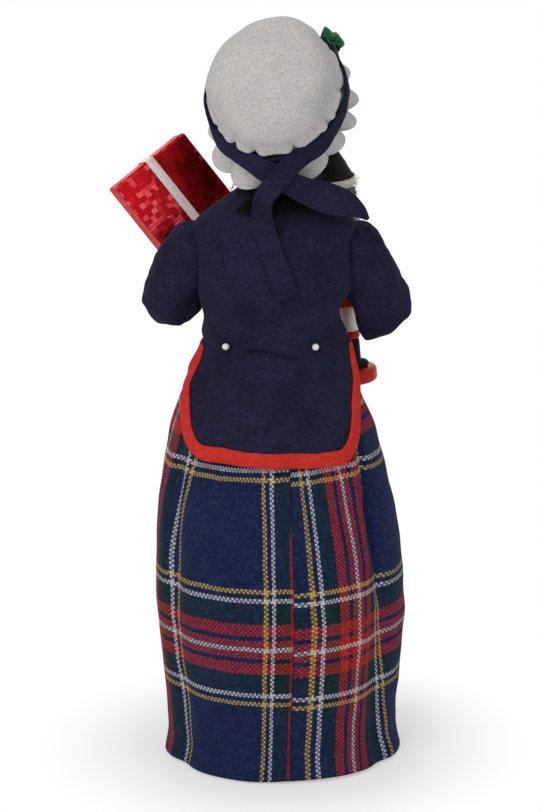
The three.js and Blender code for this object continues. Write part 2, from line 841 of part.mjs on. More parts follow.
const gatherInset = bandWall + fitGap;
const crownRings = [
  [-gatherInset, -gatherInset, -bandWidth, 0],
  [-gatherInset, -gatherInset, fitGap, 0],
  [-1, -0.9, 2 * fitGap, 0.8],
  [-0.65 * crownTaper, -0.4, crownDepth * 0.2, 1],
  [-crownTaper, -0.7, crownDepth * 0.4, 0.6],
  [-1.8 * crownTaper, -2.8, crownDepth * 0.6, 0.25],
  [-9.4, -7.4, crownDepth * 0.78, 0],
  [-17.2, -15.8, crownDepth * 0.93, 0],
  [-24.7, -24.4, crownDepth, 0],
].map(([w, v, n, wave]) => capRing(
  capHalfWidth + w, capHalfHeight + v, n, 4 * crownGathers, wave * gatherDepth,
));
piece(head, 'cap_crown', cut(loft(crownRings), headForm(fitGap)), grey, 0.95);

const bandRing = (inset, n) => capRing(capHalfWidth - inset, capHalfHeight - inset, n, 28);
const band = tubeWall(
  [-bandWidth, 0].map((n) => bandRing(0, n)),
  [-bandWidth, 0].map((n) => bandRing(bandWall, n)),
);
piece(head, 'cap_band', band, navy, 0.9);

function ruffleSection(angle) {
  const wave = Math.cos(ruffleLobes * angle);
  const point = (share, through) => {
    const out = ruffleFlare * share + ruffleWave * 0.6 * share * wave + through - gatherInset;
    const n = -bandWidth - fitGap - ruffleReach * share + ruffleWave * share * wave + through * 0.5;
    return capPoint((capHalfWidth + out) * Math.cos(angle), (capHalfHeight + out) * Math.sin(angle), n);
  };
  const half = ruffleWall / 2;
  return [
    point(0, -half - 0.4), point(0.55, -half), point(1, -half),
    point(1, half), point(0.55, half), point(0, half - 0.4),
  ];
}
const ruffleSteps = ruffleLobes * 5;
const ruffleSections = Array.from(
  { length: ruffleSteps },
  (_, i) => ruffleSection((i / ruffleSteps) * 2 * Math.PI),
);
const ruffle = closedLoop(ruffleSections);
piece(head, 'cap_ruffle', ruffle, grey, 0.95);

// Hair in front of the cap ring, open over the face
const hairRings = [
  [0.8, 0.62, 0.4, 0.08],
  [chinHeight - 6, 0.8, 0.56, 0.05],
  [chinHeight + 3, 0.92, 0.78, -0.02],
  [chinHeight + 14, 1, 0.98, -0.1],
  [headHeight - 13, 0.96, 0.97, -0.11],
  [headHeight - 4, 0.72, 0.77, -0.07],
  [headHeight + hairThickness * 0.7, 0.3, 0.32, -0.05],
].map(([z, w, d, y]) => ellipseRing(
  20, w * headHalfWidth + hairThickness, d * headHalfDepth + hairThickness, z, y * headHalfDepth,
));
const faceOpening = new THREE.SphereGeometry(1, 18, 12)
  .scale(headHalfWidth * 1.02, headHalfDepth * 1.2, headHeight * 0.5)
  .translate(0, -headHalfDepth * 1.3, chinHeight + 9);
const throat = box(-2 * headHalfWidth, 2 * headHalfWidth, -3 * headHalfDepth, -1, -10, chinHeight + 1);
const behindRing = loft([
  capRing(3 * capHalfWidth, 3 * capHalfHeight, -bandWidth - fitGap, 16),
  capRing(3 * capHalfWidth, 3 * capHalfHeight, 4 * crownDepth, 16),
]);
const roomRing = (w, n) => capRing(capHalfWidth + w, capHalfHeight + w, n, 28);
const roomBack = -bandWidth;
const roomFront = -bandWidth - 2 * fitGap - ruffleReach - ruffleWave;
const roomInset = ruffleWall / 2 + 0.4 + gatherInset + 2 * fitGap;
const roomFlare = ruffleFlare - 0.6 * ruffleWave - ruffleWall / 2 - gatherInset - 2 * fitGap;
const ruffleRoom = tubeWall(
  [roomRing(2 * ruffleFlare, roomBack), roomRing(3 * ruffleFlare, roomFront)],
  [roomRing(-roomInset, roomBack), roomRing(roomFlare, roomFront)],
);
const hair = cut(loft(hairRings), headForm(fitGap), faceOpening, throat, behindRing, ruffleRoom);
piece(head, 'hair', hair, '#1d1814', 0.85);

// Band tails: one down the back, one over the right shoulder
const napePoint = (x) => {
  const v = -capHalfHeight * Math.sqrt(1 - (x / capHalfWidth) ** 2);
  return capPoint(x, v, -bandWidth / 2).applyEuler(head.rotation).add(head.position);
};
const napeOut = ringUp.clone().negate().applyEuler(head.rotation);
const napeAlong = at(1, 0, 0).applyEuler(head.rotation);
const napeWide = ringBack.clone().applyEuler(head.rotation);
const tailLift = fitGap + tailWall / 2;
const tailStand = tailWall / 2 + 1.4;
const backTop = napePoint(0).addScaledVector(napeOut, tailLift);
const shoulderTop = napePoint(-tailStrip - 1).addScaledVector(napeOut, 1.4 * tailLift);
const slanted = at(1, 0, -0.2);
const outward = at(0, 1, 0);
const onBack = (x, z, share) => [at(x, bodiceDepth(z) + tailStand, z), slanted, outward, share];
const clothStrip = (stations, width) => strip(stations.map(([middle, across, out, share]) => [
  middle,
  across.clone().setLength(share * width / 2),
  out.clone().setLength(tailWall / 2),
]));
const tailBridge = (backTop.y + bodiceDepth(slopeHeight) + 3 * tailStand) / 2;
const backTailStrip = clothStrip([
  [backTop, napeAlong, napeOut, 0.8],
  [backTop.clone().add(at(-0.1, 0.8, -6.5)), napeAlong, at(0.1, 0.95, -0.3), 0.85],
  [at(4.4, tailBridge, slopeHeight + 3), slanted, outward, 0.95],
  onBack(2.6, yokeHeight, 1),
  onBack(-1.2, chestHeight + 6, 1.05),
  onBack(-4.6, chestHeight - 6, 1),
], tailStrip);
piece(figure, 'band_tail_back', backTailStrip, navy, 0.9);

const shoulderTip = at(-yokeHalfWidth - shoulderTipOut, shoulderTipBack, yokeHeight + shoulderTipRise);
const tailFace = at(-0.35, 0.85, 0.25);
const towardTip = (share, lift, drop) => shoulderTop.clone().lerp(shoulderTip, share).add(at(0, lift, drop));
const shoulderTailStrip = clothStrip([
  [shoulderTop, napeWide, napeOut, 0.6],
  [towardTip(0.3, 2.6, -2), at(0, 0.1, 1), tailFace, 0.75],
  [towardTip(0.6, 1.6, -1.8), at(0, -0.3, 1), tailFace, 1],
  [towardTip(0.85, 0.4, -0.8), at(0, -0.35, 1), tailFace, 0.95],
  [shoulderTip, at(0, -0.35, 1), tailFace, 0.25],
], shoulderStrip);
piece(figure, 'band_tail_shoulder', shoulderTailStrip, navy, 0.9);

// Holly: spiked leaves flat against the band, two berries on top
const leafOutline = new THREE.Shape();
const half = leafLength / 2;
const spikes = 3;
leafOutline.moveTo(-half, 0);
[1, -1].forEach((side) => {
  for (let i = 0; i < spikes; i++) {
    const from = side * (-half + (i * leafLength) / spikes);
    const to = side * (-half + ((i + 1) * leafLength) / spikes);
    const tip = i === spikes - 1 ? 0 : side * leafWidth / 2;
    const dip = side * leafWidth * (i === 0 ? 0.3 : 0.27);
    leafOutline.quadraticCurveTo((from + to) / 2, dip, to, tip);
  }
});
const leafSheet = new THREE.ExtrudeGeometry(leafOutline, {
  depth: leafWall, bevelEnabled: false, curveSegments: 4,
});

function onBand(geometry, angle, n, lift, spin) {
  const turn = degrees(angle);
  const seat = capPoint(capHalfWidth * Math.cos(turn), capHalfHeight * Math.sin(turn), n);
  const out = at(Math.cos(turn) / capHalfWidth, 0, 0)
    .addScaledVector(ringUp, Math.sin(turn) / capHalfHeight).normalize();
  const along = ringBack.clone().cross(out).normalize();
  const basis = new THREE.Matrix4().makeBasis(along, ringBack, out);
  return geometry.clone().rotateZ(degrees(spin)).translate(0, 0, lift).applyMatrix4(basis)
    .translate(seat.x, seat.y, seat.z);
}

const leafMiddle = -bandWidth / 2;
const secondLift = 2 * fitGap + leafWall;
const thirdLift = secondLift + fitGap + leafWall;
const leafOn = (lift, spin) => onBand(leafSheet, sprigAngle, leafMiddle, lift, spin);
piece(head, 'holly_leaf_low', leafOn(fitGap, leafSpin), green, 0.6);
piece(head, 'holly_leaf_back', leafOn(secondLift, leafSpin + leafFan), green, 0.6);
piece(head, 'holly_leaf_front', leafOn(thirdLift, leafSpin - leafFan), green, 0.6);
const berry = new THREE.SphereGeometry(berryRadius, 10, 7);
const berryLift = thirdLift + leafWall + fitGap + berryRadius;
const berryStep = THREE.MathUtils.radToDeg((berryRadius + fitGap) / capHalfWidth);
piece(head, 'holly_berry_left', onBand(berry, sprigAngle - berryStep, leafMiddle, berryLift, 0), red, 0.3);
piece(head, 'holly_berry_right', onBand(berry, sprigAngle + berryStep, leafMiddle, berryLift, 0), red, 0.3);

// Gift group, carried on the left palm

const gift = new THREE.Group();
gift.rotation.set(degrees(giftPitch), degrees(giftLean), degrees(giftYaw), 'ZXY');
const giftUp = at(0, 0, 1).applyEuler(gift.rotation);
const giftSeat = palmRadius + ribbonWall + 2 * fitGap;
gift.position.copy(leftPalm).addScaledVector(giftUp, giftSeat + giftLength / 2);
figure.add(gift);
gift.updateMatrix();

function roundedBlock(width, depth, height, bevel) {
  const outline = new THREE.Shape([
    new THREE.Vector2(-width / 2 + bevel, -depth / 2 + bevel),
    new THREE.Vector2(width / 2 - bevel, -depth / 2 + bevel),
    new THREE.Vector2(width / 2 - bevel, depth / 2 - bevel),
    new THREE.Vector2(-width / 2 + bevel, depth / 2 - bevel),
  ]);
  const block = new THREE.ExtrudeGeometry(outline, {
    depth: height - 2 * bevel, bevelThickness: bevel, bevelSize: bevel, bevelSegments: 2,
  });
  return block.translate(0, 0, bevel - height / 2);
}

piece(gift, 'gift_box', roundedBlock(giftWidth, giftThickness, giftLength, giftBevel), '#9f2728', 0.25, 0.6);

const ribbonInside = fitGap;
const ribbonOutside = fitGap + ribbonWall;
const ribbon = cut(
  roundedBlock(ribbonWidth, giftThickness + 2 * ribbonOutside, giftLength + 2 * ribbonOutside, 0.05),
  roundedBlock(2 * ribbonWidth, giftThickness + 2 * ribbonInside, giftLength + 2 * ribbonInside, 0.05),
);
piece(gift, 'gift_ribbon', ribbon, '#e6dcdb', 0.35);

function bowLoop() {
  const loop = (inset) => {
    const shape = new THREE.Shape();
    const tip = bowReach - inset;
    const rise = bowHeight - inset;
    shape.moveTo(inset, inset);
    shape.bezierCurveTo(bowReach * 0.35, rise * 1.3, tip, rise * 1.2, tip, rise * 0.45);
    shape.bezierCurveTo(tip, inset * 0.8, bowReach * 0.4, inset, inset, inset);
    return shape.getPoints(7).slice(0, -1);
  };
  const outline = new THREE.Shape(loop(0).reverse());
  outline.holes.push(new THREE.Path(loop(ribbonWall * 1.6)));
  return new THREE.ExtrudeGeometry(outline, { depth: ribbonWidth, bevelEnabled: false })
    .translate(0, 0, -ribbonWidth / 2);
}
const knot = box(-1.6, 1.6, 0, bowHeight * 0.42, -ribbonWidth * 0.55, ribbonWidth * 0.55);
const bow = join(bowLoop(), bowLoop().rotateY(Math.PI), knot).rotateX(Math.PI)
  .translate(0, -giftThickness / 2 - ribbonOutside - fitGap, 0);
piece(gift, 'gift_bow', bow, '#e6dcdb', 0.35);

const giftClear = roundedBlock(
  giftWidth + 2 * fitGap,
  giftThickness + 2 * (ribbonOutside + fitGap),
  giftLength + 2 * (ribbonOutside + fitGap),
  0.05,
).applyMatrix4(gift.matrix);

// Mittens and sleeves

const leftWrist = leftCuff.clone().lerp(leftElbow, 0.3);
const leftMittenPath = [leftWrist, leftCuff, leftPalm];
const leftMittenRadii = [0.62, 0.66, 0.72, 0.92, 1, 0.98, 0.8].map((share) => share * palmRadius);
const leftThumb = limb(
  [
    at(0.2, -giftThickness * 0.2, -giftLength / 2 - palmRadius),
    at(1, giftThickness * 0.5, -giftLength / 2 - 5.5),
    at(3, giftThickness / 2 + ribbonOutside + thumbRadius + 2 * fitGap, -giftLength / 2 + 3.5),
  ].map((p) => p.applyMatrix4(gift.matrix)),
  [0.9, 1, 1.05, 1, 0.6].map((share) => share * thumbRadius),
  8,
);
const leftMitten = cut(join(limb(leftMittenPath, leftMittenRadii), leftThumb), giftClear);

const rightWrist = rightCuff.clone().lerp(rightElbow, 0.3);
const rightMittenPath = [rightWrist, rightCuff, ...[168, 200, 232, 250].map(gripPoint)];
const rightMittenRadii = [0.66, 0.7, 0.75, 0.9, 1, 1, 0.98, 0.85, 0.55]
  .map((share) => share * mittenRadius);
const rightMitten = limb(rightMittenPath, rightMittenRadii);

function armWirePath(shoulder, elbow, cuff, hand) {
  return new THREE.CatmullRomCurve3([
    rootOf(shoulder, elbow, 0), shoulder,
    shoulder.clone().lerp(elbow, 0.5), shoulder.clone().lerp(elbow, 0.85),
    elbow.clone().lerp(cuff, 0.15), elbow.clone().lerp(cuff, 0.6), cuff.clone().lerp(hand, 0.2),
  ], false, 'centripetal');
}

function armPieces(side, shoulder, elbow, cuff, hand, mitten, wristRadius, away) {
  const path = armWirePath(shoulder, elbow, cuff, hand);
  const wireBore = wire(path, wireRadius + fitGap, 11);
  const forearm = cut(forearmSleeve(elbow, cuff), bodiceSolid(fitGap), ...away);
  const opening = limb(
    [elbow.clone().lerp(cuff, 0.55), elbow.clone().lerp(cuff, 0.8), elbow.clone().lerp(cuff, 1.2)],
    [wristRadius, cuffRadius - sleeveWall, cuffRadius - sleeveWall + 0.4],
    12,
  );
  const sleeve = cut(join(upperSleeve(shoulder, elbow, 0), forearm), wireBore, opening);
  piece(figure, `${side}_arm_wire`, wire(path, wireRadius, 11), steel, 0.4, 0.9);
  piece(figure, `${side}_sleeve`, sleeve, navy, 0.95);
  piece(figure, `${side}_mitten`, cut(mitten, wireBore), red, 0.9);
}

armPieces('left', leftShoulder, leftElbow, leftCuff, leftPalm, leftMitten, 3, [giftClear]);
armPieces('right', rightShoulder, rightElbow, rightCuff, gripPoint(168), rightMitten, 3, []);

// Nutcracker group, held at its coat

const toy = new THREE.Group();
toy.rotation.set(0, degrees(toyLean), degrees(toyYaw), 'YXZ');
const toyUp = at(0, 0, 1).applyEuler(toy.rotation);
toy.position.copy(toyAxis).addScaledVector(toyUp, -toyGrip);
figure.add(toy);

piece(toy, 'toy_base', turned([
  [0, 0],
  [toyBaseRadius - 1.2, 0],
  [toyBaseRadius, 1.2],
  [toyBaseRadius, toyBaseHeight - 1.8],
  [toyBaseRadius - 0.6, toyBaseHeight - 0.6],
  [toyBaseRadius - 1.8, toyBaseHeight],
  [0, toyBaseHeight],
], 20), gloss, 0.3);

const bootFloor = toyBaseHeight + fitGap;
const bootTop = bootFloor + bootHeight;
[['left', 1], ['right', -1]].forEach(([side, sign]) => {
  const shaft = turned([
    [0, bootFloor], [bootRadius, bootFloor], [bootRadius, bootTop], [0, bootTop],
  ], 14);
  const toe = new THREE.SphereGeometry(bootRadius, 12, 8).scale(0.95, 1.25, 0.85)
    .translate(0, -toeLength + bootRadius * 1.25, bootFloor);
  const floor = box(-20, 20, -20, 20, bootFloor - 20, bootFloor);
  const boot = join(shaft, cut(toe, floor)).translate(sign * legSpacing, 0, 0);
  piece(toy, `toy_${side}_boot`, boot, black, 0.3);
  const cuffFloor = bootTop + fitGap;
  const leg = turned([
    [0, cuffFloor],
    [toyCuffRadius - 0.7, cuffFloor],
    [toyCuffRadius - fitGap, cuffFloor + 0.8],
    [toyCuffRadius - fitGap, cuffFloor + toyCuffHeight - 0.8],
    [legRadius, cuffFloor + toyCuffHeight],
    [legRadius, legTop - fitGap],
    [0, legTop - fitGap],
  ], 14).translate(sign * legSpacing, 0, 0);
  piece(toy, `toy_${side}_leg`, leg, white, 0.35);
});

const coatWaist = coatRadius - 1.3;
const beltFloor = legTop + beltRise;
const leverBack = coatRadius - 0.9;
const leverFront = leverBack - leverWall;
const leverHalf = leverWidth / 2;
const leverSlot = box(
  -leverHalf - fitGap, leverHalf + fitGap, leverFront - fitGap, coatRadius * 3, leverBottom, jawPivot,
);
const coat = turned([
  [0, legTop],
  [coatRadius, legTop],
  [coatRadius, legTop + 0.8],
  [coatWaist + 0.1, beltFloor - 0.4],
  [coatWaist, beltFloor],
  [coatWaist, beltFloor + beltHeight],
  [coatRadius - 0.4, beltFloor + beltHeight + 11],
  [coatRadius - 0.9, coatTop - 4],
  [coatRadius - 3.4, coatTop - 1],
  [toyHeadRadius * 0.6, coatTop],
  [0, coatTop],
], 18);
piece(toy, 'toy_coat', cut(coat, leverSlot), gloss, 0.3);

const belt = turned([
  [coatWaist + fitGap, beltFloor + 0.2],
  [coatWaist + fitGap + beltWall, beltFloor + 0.2],
  [coatWaist + fitGap + beltWall, beltFloor + beltHeight - 0.2],
  [coatWaist + fitGap, beltFloor + beltHeight - 0.2],
  [coatWaist + fitGap, beltFloor + 0.2],
], 18);
piece(toy, 'toy_belt', cut(belt, leverSlot), black, 0.3);

const toyArmOut = coatRadius - 0.4 + fitGap + toyArmRadius;
const toyArmTop = coatTop - toyArmDrop;
const toyHandHeight = toyArmTop - toyArmLength;
[['left', 1], ['right', -1]].forEach(([side, sign]) => {
  const arm = limb(
    [
      at(sign * toyArmOut, 0.3, toyArmTop),
      at(sign * (toyArmOut + 0.4), 0.3, (toyArmTop + toyHandHeight) / 2),
      at(sign * (toyArmOut + 0.2), -1, toyHandHeight),
    ],
    [0.5, 0.95, 1, 0.92, 0.86, 0.84, 0.9, 0.95, 0.45].map((share) => share * toyArmRadius),
    10,
  );
  piece(toy, `toy_${side}_arm`, arm, gloss, 0.3);
});

const headFloor = coatTop + fitGap;
const jawLow = jawPivot - jawHeight / 2;
const jawHigh = jawPivot + jawHeight / 2;
const jawSwing = Math.sin(degrees(jawOpening));
const slotHigh = jawHigh + leverBack * jawSwing + 2 * fitGap;
const toyHeadBlank = turned([
  [0, headFloor],
  [toyHeadRadius * 0.75, headFloor],
  [toyHeadRadius, headFloor + 4],
  [toyHeadRadius, toyHeadTop - 0.6],
  [toyHeadRadius - 0.6, toyHeadTop],
  [0, toyHeadTop],
], 18);
const bandLow = toyHeadTop - hatBandHeight;
const toyNose = new THREE.SphereGeometry(1.5, 10, 8).scale(0.9, 1.5, 1)
  .translate(0, -toyHeadRadius, (slotHigh + bandLow) / 2);
const jawSlot = box(
  -leverHalf - fitGap, leverHalf + fitGap, -3 * toyHeadRadius, 3 * toyHeadRadius, headFloor - 1, slotHigh,
);
const toyPinLength = 2 * toyHeadRadius - 1.4;
const sideways = (geometry) => geometry.rotateY(Math.PI / 2).translate(0, 0, jawPivot);
const pinHole = sideways(cylinder(toyPinRadius + fitGap, -2 * toyHeadRadius, 2 * toyHeadRadius, 8));
piece(toy, 'toy_head', cut(join(toyHeadBlank, toyNose), jawSlot, pinHole), '#e0a888', 0.35);
const toyPin = sideways(cylinder(toyPinRadius, -toyPinLength / 2, toyPinLength / 2, 8));
piece(toy, 'toy_pin', toyPin, steel, 0.4, 0.9);

// Lever: the jaw at its front, a bar down the back, turning on the pin
const leverOutline = new THREE.Shape([
  new THREE.Vector2(-toyHeadRadius - 0.4, jawLow),
  new THREE.Vector2(leverFront, jawLow),
  new THREE.Vector2(leverFront, leverBottom + 1),
  new THREE.Vector2(leverFront + 0.8, leverBottom),
  new THREE.Vector2(leverBack - 0.4, leverBottom),
  new THREE.Vector2(leverBack, leverBottom + 1),
  new THREE.Vector2(leverBack, jawHigh - 1.2),
  new THREE.Vector2(leverBack - 1.2, jawHigh),
  new THREE.Vector2(-toyHeadRadius - 0.4, jawHigh),
]);
const lever = new THREE.ExtrudeGeometry(leverOutline, { depth: leverWidth, bevelEnabled: false })
  .translate(0, 0, -leverHalf).rotateX(Math.PI / 2).rotateZ(Math.PI / 2);
piece(toy, 'toy_lever', cut(lever, pinHole), gloss, 0.3);

// Fur round the back and sides of the head, fur band under the hat, beard on the jaw
const furInner = toyHeadRadius + fitGap;
function furRing(low, high, thickness) {
  return turned([
    [furInner, low],
    [furInner + thickness * 0.8, low + 0.3],
    [furInner + thickness, (low + high) / 2],
    [furInner + thickness * 0.8, high - 0.3],
    [furInner, high],
    [furInner, low],
  ], 16);
}
const hairHigh = bandLow - fitGap;
const hairFloor = Math.max(toyHeadTop - toyHairReach, slotHigh + fitGap);
const faceClear = box(
  -toyHeadRadius * 0.8, toyHeadRadius * 0.8, -3 * toyHeadRadius, -1, hairFloor - 5, hairHigh + 1,
);
piece(toy, 'toy_hair', cut(furRing(hairFloor, hairHigh, furWall), faceClear), '#4a4d49', 0.95);
piece(toy, 'toy_hat_band', furRing(bandLow, toyHeadTop, furWall * 0.85), '#e9e4d6', 0.95);

const beardFront = -toyHeadRadius - 0.4 - fitGap;
const beard = new THREE.SphereGeometry(1, 12, 8).scale(leverHalf + 0.6, 2.1, jawHeight * 0.62)
  .translate(0, beardFront, jawPivot - jawHeight * 0.42);
const behindBeard = box(-20, 20, beardFront, 20, jawLow - 20, jawHigh + 20);
piece(toy, 'toy_beard', cut(beard, behindBeard), '#e9e4d6', 0.95);

const hatFloor = toyHeadTop + fitGap;
const hatRings = [
  [0, hatFlare, hatFlare + 2],
  [0.1, hatFlare - 0.5, hatFlare + 0.9],
  [0.45, -1.6, -1.6],
  [0.75, -4, -4.2],
  [0.93, -5.8, -6],
  [1, -7.2, -7.2],
].map(([share, wide, deep]) => ellipseRing(
  16, toyHeadRadius + wide, toyHeadRadius + deep, hatFloor + share * hatHeight,
));
piece(toy, 'toy_hat', loft(hatRings), black, 0.4);

export default figure;
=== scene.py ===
# Caroler figurine: felt, tartan, foil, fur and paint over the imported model.
# Shapes are worked out in millimetres and become metres when a mesh is made.
import math
from contextlib import contextmanager

import bmesh
import bpy
import numpy as np
from mathutils import Matrix, Vector


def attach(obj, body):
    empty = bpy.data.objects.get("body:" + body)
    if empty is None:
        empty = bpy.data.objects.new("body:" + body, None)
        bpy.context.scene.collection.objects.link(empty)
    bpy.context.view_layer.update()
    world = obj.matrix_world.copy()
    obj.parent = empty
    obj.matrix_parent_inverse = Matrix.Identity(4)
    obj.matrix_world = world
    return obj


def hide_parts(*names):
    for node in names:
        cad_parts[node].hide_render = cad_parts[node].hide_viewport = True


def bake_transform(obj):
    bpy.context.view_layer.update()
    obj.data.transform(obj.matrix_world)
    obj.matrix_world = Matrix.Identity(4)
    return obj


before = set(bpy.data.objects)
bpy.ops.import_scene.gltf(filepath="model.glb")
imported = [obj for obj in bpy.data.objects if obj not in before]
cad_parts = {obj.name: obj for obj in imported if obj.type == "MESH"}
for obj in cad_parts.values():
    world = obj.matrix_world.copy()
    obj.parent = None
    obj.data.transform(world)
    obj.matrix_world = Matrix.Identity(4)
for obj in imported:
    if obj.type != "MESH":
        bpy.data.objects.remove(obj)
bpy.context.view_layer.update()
scene = bpy.context.scene
mm = 0.001
fullTurn = 2 * math.pi


# Small maths

def smooth(low, high, value):
    t = np.clip((np.asarray(value, float) - low) / (high - low), 0, 1)
    return t * t * (3 - 2 * t)


def bump(value, spread):
    return np.exp(-(np.asarray(value, float) / spread) ** 2)


def wrapped(degrees):
    # the shorter way round, from -180 to 180
    return (degrees + 180) % 360 - 180


def profile(stations):
    # a smooth value through (height, size) stations, without overshoot
    heights, sizes = np.array(stations, float).T
    rise = np.diff(sizes) / np.diff(heights)
    slope = np.zeros(len(heights))
    slope[0], slope[-1] = rise[0], rise[-1]
    for i in range(1, len(rise)):
        below, above = rise[i - 1], rise[i]
        slope[i] = 2 * below * above / (below + above) if below * above > 0 else 0

    def at(height):
        h = np.clip(np.asarray(height, float), heights[0], heights[-1])
        i = np.clip(np.searchsorted(heights, h, side="right") - 1, 0, len(rise) - 1)
        span = heights[i + 1] - heights[i]
        t = (h - heights[i]) / span
        s = 1 - t
        return (sizes[i] * (1 + 2 * t) * s * s + slope[i] * span * t * s * s
                + sizes[i + 1] * t * t * (3 - 2 * t) - slope[i + 1] * span * s * t * t)
    return at


def ripple(points, size, seed, waves=16):
    # a smooth random field of about -1 to 1, with swells of about this size
    rng = np.random.RandomState(seed)
    ways = rng.normal(size=(waves, 3))
    ways /= np.linalg.norm(ways, axis=1, keepdims=True)
    pace = fullTurn / size * (0.6 + 0.8 * rng.rand(waves))
    start = rng.rand(waves) * 2 * math.pi
    field = np.sin(np.asarray(points, float) @ (ways * pace[:, None]).T + start)
    return field.sum(axis=-1) / math.sqrt(waves)


def crumple(points, layers):
    # ripples added up, each given by its push, size and seed
    return sum(push * ripple(points, size, seed) for push, size, seed in layers)


def lengthAlong(points):
    # the way covered from the first point to each of the others
    steps = np.linalg.norm(np.diff(points, axis=0), axis=1)
    return np.concatenate([[0], np.cumsum(steps)])


def through(points, count):
    # points evenly spaced along a smooth curve through the given ones
    points = np.array(points, float)
    ends = np.vstack([2 * points[0] - points[1], points, 2 * points[-1] - points[-2]])
    t = np.linspace(0, 1, 40, endpoint=False)[:, None]
    fine = []
    for i in range(len(points) - 1):
        a, b, c, d = ends[i:i + 4]
        fine.append(0.5 * (2 * b + (c - a) * t + (2 * a - 5 * b + 4 * c - d) * t ** 2
                           + (3 * b - a - 3 * c + d) * t ** 3))
    fine = np.vstack([*fine, points[-1:]])
    run = lengthAlong(fine)
    even = np.linspace(0, run[-1], count)
    return np.stack([np.interp(even, run, column) for column in fine.T], axis=1)


def eased(values, weights):
    # a running mean that keeps the ends
    padded = np.pad(values, len(weights) // 2, mode="edge")
    return np.convolve(padded, weights / weights.sum(), mode="valid")


def unit(vectors):
    vectors = np.asarray(vectors, float)
    return vectors / np.maximum(np.linalg.norm(vectors, axis=-1, keepdims=True), 1e-9)


def turned(axis, degrees):
    return np.array(Matrix.Rotation(math.radians(degrees), 3, axis))


def ringOf(count):
    return np.linspace(0, fullTurn, count, endpoint=False)


# Meshes

def addObject(name, data):
    thing = bpy.data.objects.new(name, data)
    scene.collection.objects.link(thing)
    return thing


def camel(node):
    # a node's name as a piece's name
    first, *rest = node.split("_")
    return first + "".join(word.capitalize() for word in rest)


@contextmanager
def editing(piece):
    shape = bmesh.new()
    shape.from_mesh(piece.data)
    yield shape
    shape.to_mesh(piece.data)
    shape.free()


def shadeSmooth(mesh):
    mesh.polygons.foreach_set("use_smooth", np.ones(len(mesh.polygons), bool))
    mesh.update()


def gridFaces(rows, columns, loop=False):
    faces = []
    for low in range(0, (rows - 1) * columns, columns):
        high = low + columns
        for c in range(columns if loop else columns - 1):
            d = (c + 1) % columns
            faces.append((low + c, low + d, high + d, high + c))
    return faces


def makePiece(name, points, faces, material, uv=None):
    mesh = bpy.data.meshes.new(name)
    mesh.from_pydata((np.asarray(points, float).reshape(-1, 3) * mm).tolist(), [], faces)
    mesh.materials.append(material)
    if uv is not None:
        corners = np.empty(len(mesh.loops), np.int32)
        mesh.loops.foreach_get("vertex_index", corners)
        layer = mesh.uv_layers.new(name="flat")
        layer.data.foreach_set("uv", np.asarray(uv, np.float32).reshape(-1, 2)[corners].ravel())
    shadeSmooth(mesh)
    return addObject(name, mesh)


def bake(piece):
    # turns the piece with its modifiers into a plain mesh
    bpy.context.view_layer.update()
    depsgraph = bpy.context.evaluated_depsgraph_get()
    solid = bpy.data.meshes.new_from_object(
        piece.evaluated_get(depsgraph), preserve_all_data_layers=True, depsgraph=depsgraph)
    old = piece.data
    piece.modifiers.clear()
    piece.data = solid
    bpy.data.meshes.remove(old)
    solid.name = piece.name
    return piece


def addModifier(piece, kind, **values):
    modifier = piece.modifiers.new(kind.lower(), kind)
    for key, value in values.items():
        setattr(modifier, key, value)


def thicken(piece, wall, side=-1):
    addModifier(piece, "SOLIDIFY", thickness=wall * mm, offset=side)
    return bake(piece)


def remesh(piece, voxel, rounds):
    # small even faces, eased
    addModifier(piece, "REMESH", mode="VOXEL", voxel_size=voxel * mm, use_smooth_shade=True)
    addModifier(piece, "SMOOTH", factor=0.5, iterations=rounds)
    return bake(piece)


def finishEdges(piece, width, segments=3):
    addModifier(piece, "BEVEL", width=width * mm, segments=segments, limit_method="ANGLE",
                angle_limit=math.radians(30))
    addModifier(piece, "WEIGHTED_NORMAL", keep_sharp=True)
    return bake(piece)


def weld(piece, distance=0.01, outward=True):
    with editing(piece) as shape:
        bmesh.ops.remove_doubles(shape, verts=shape.verts, dist=distance * mm)
        if outward:
            bmesh.ops.recalc_face_normals(shape, faces=shape.faces)
    shadeSmooth(piece.data)
    return piece


def placesOf(piece):
    places = np.empty(len(piece.data.vertices) * 3)
    piece.data.vertices.foreach_get("co", places)
    return places.reshape(-1, 3) / mm


def normalsOf(piece):
    normals = np.empty(len(piece.data.vertices) * 3, np.float32)
    piece.data.vertex_normals.foreach_get("vector", normals)
    return normals.reshape(-1, 3).astype(float)


def movePoints(piece, places):
    piece.data.vertices.foreach_set("co", (np.asarray(places) * mm).ravel())
    piece.data.update()
    return piece


def pushOut(piece, push):
    # moves each point along its normal by push(places), in mm
    places = placesOf(piece)
    return movePoints(piece, places + normalsOf(piece) * push(places)[:, None])


def nodeCopy(node, name, material):
    # a merged copy of a node
    piece = addObject(name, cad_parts[node].data.copy())
    piece.data.materials.clear()
    piece.data.materials.append(material)
    return weld(piece, 0.002, outward=False)


def joined(name, pieces):
    shape = bmesh.new()
    materials = []
    for piece in pieces:
        start = len(shape.faces)
        shape.from_mesh(piece.data)
        shape.faces.ensure_lookup_table()
        for material in piece.data.materials:
            if material not in materials:
                materials.append(material)
        for face in shape.faces[start:]:
            face.material_index = materials.index(piece.data.materials[face.material_index])
    mesh = bpy.data.meshes.new(name)
    shape.to_mesh(mesh)
    shape.free()
    for material in materials:
        mesh.materials.append(material)
    for piece in pieces:
        old = piece.data
        bpy.data.objects.remove(piece)
        bpy.data.meshes.remove(old)
    return addObject(name, mesh)


def settle(piece, body, slot, *nodes):
    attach(piece, body)
    if nodes:
        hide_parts(*nodes)
    return piece


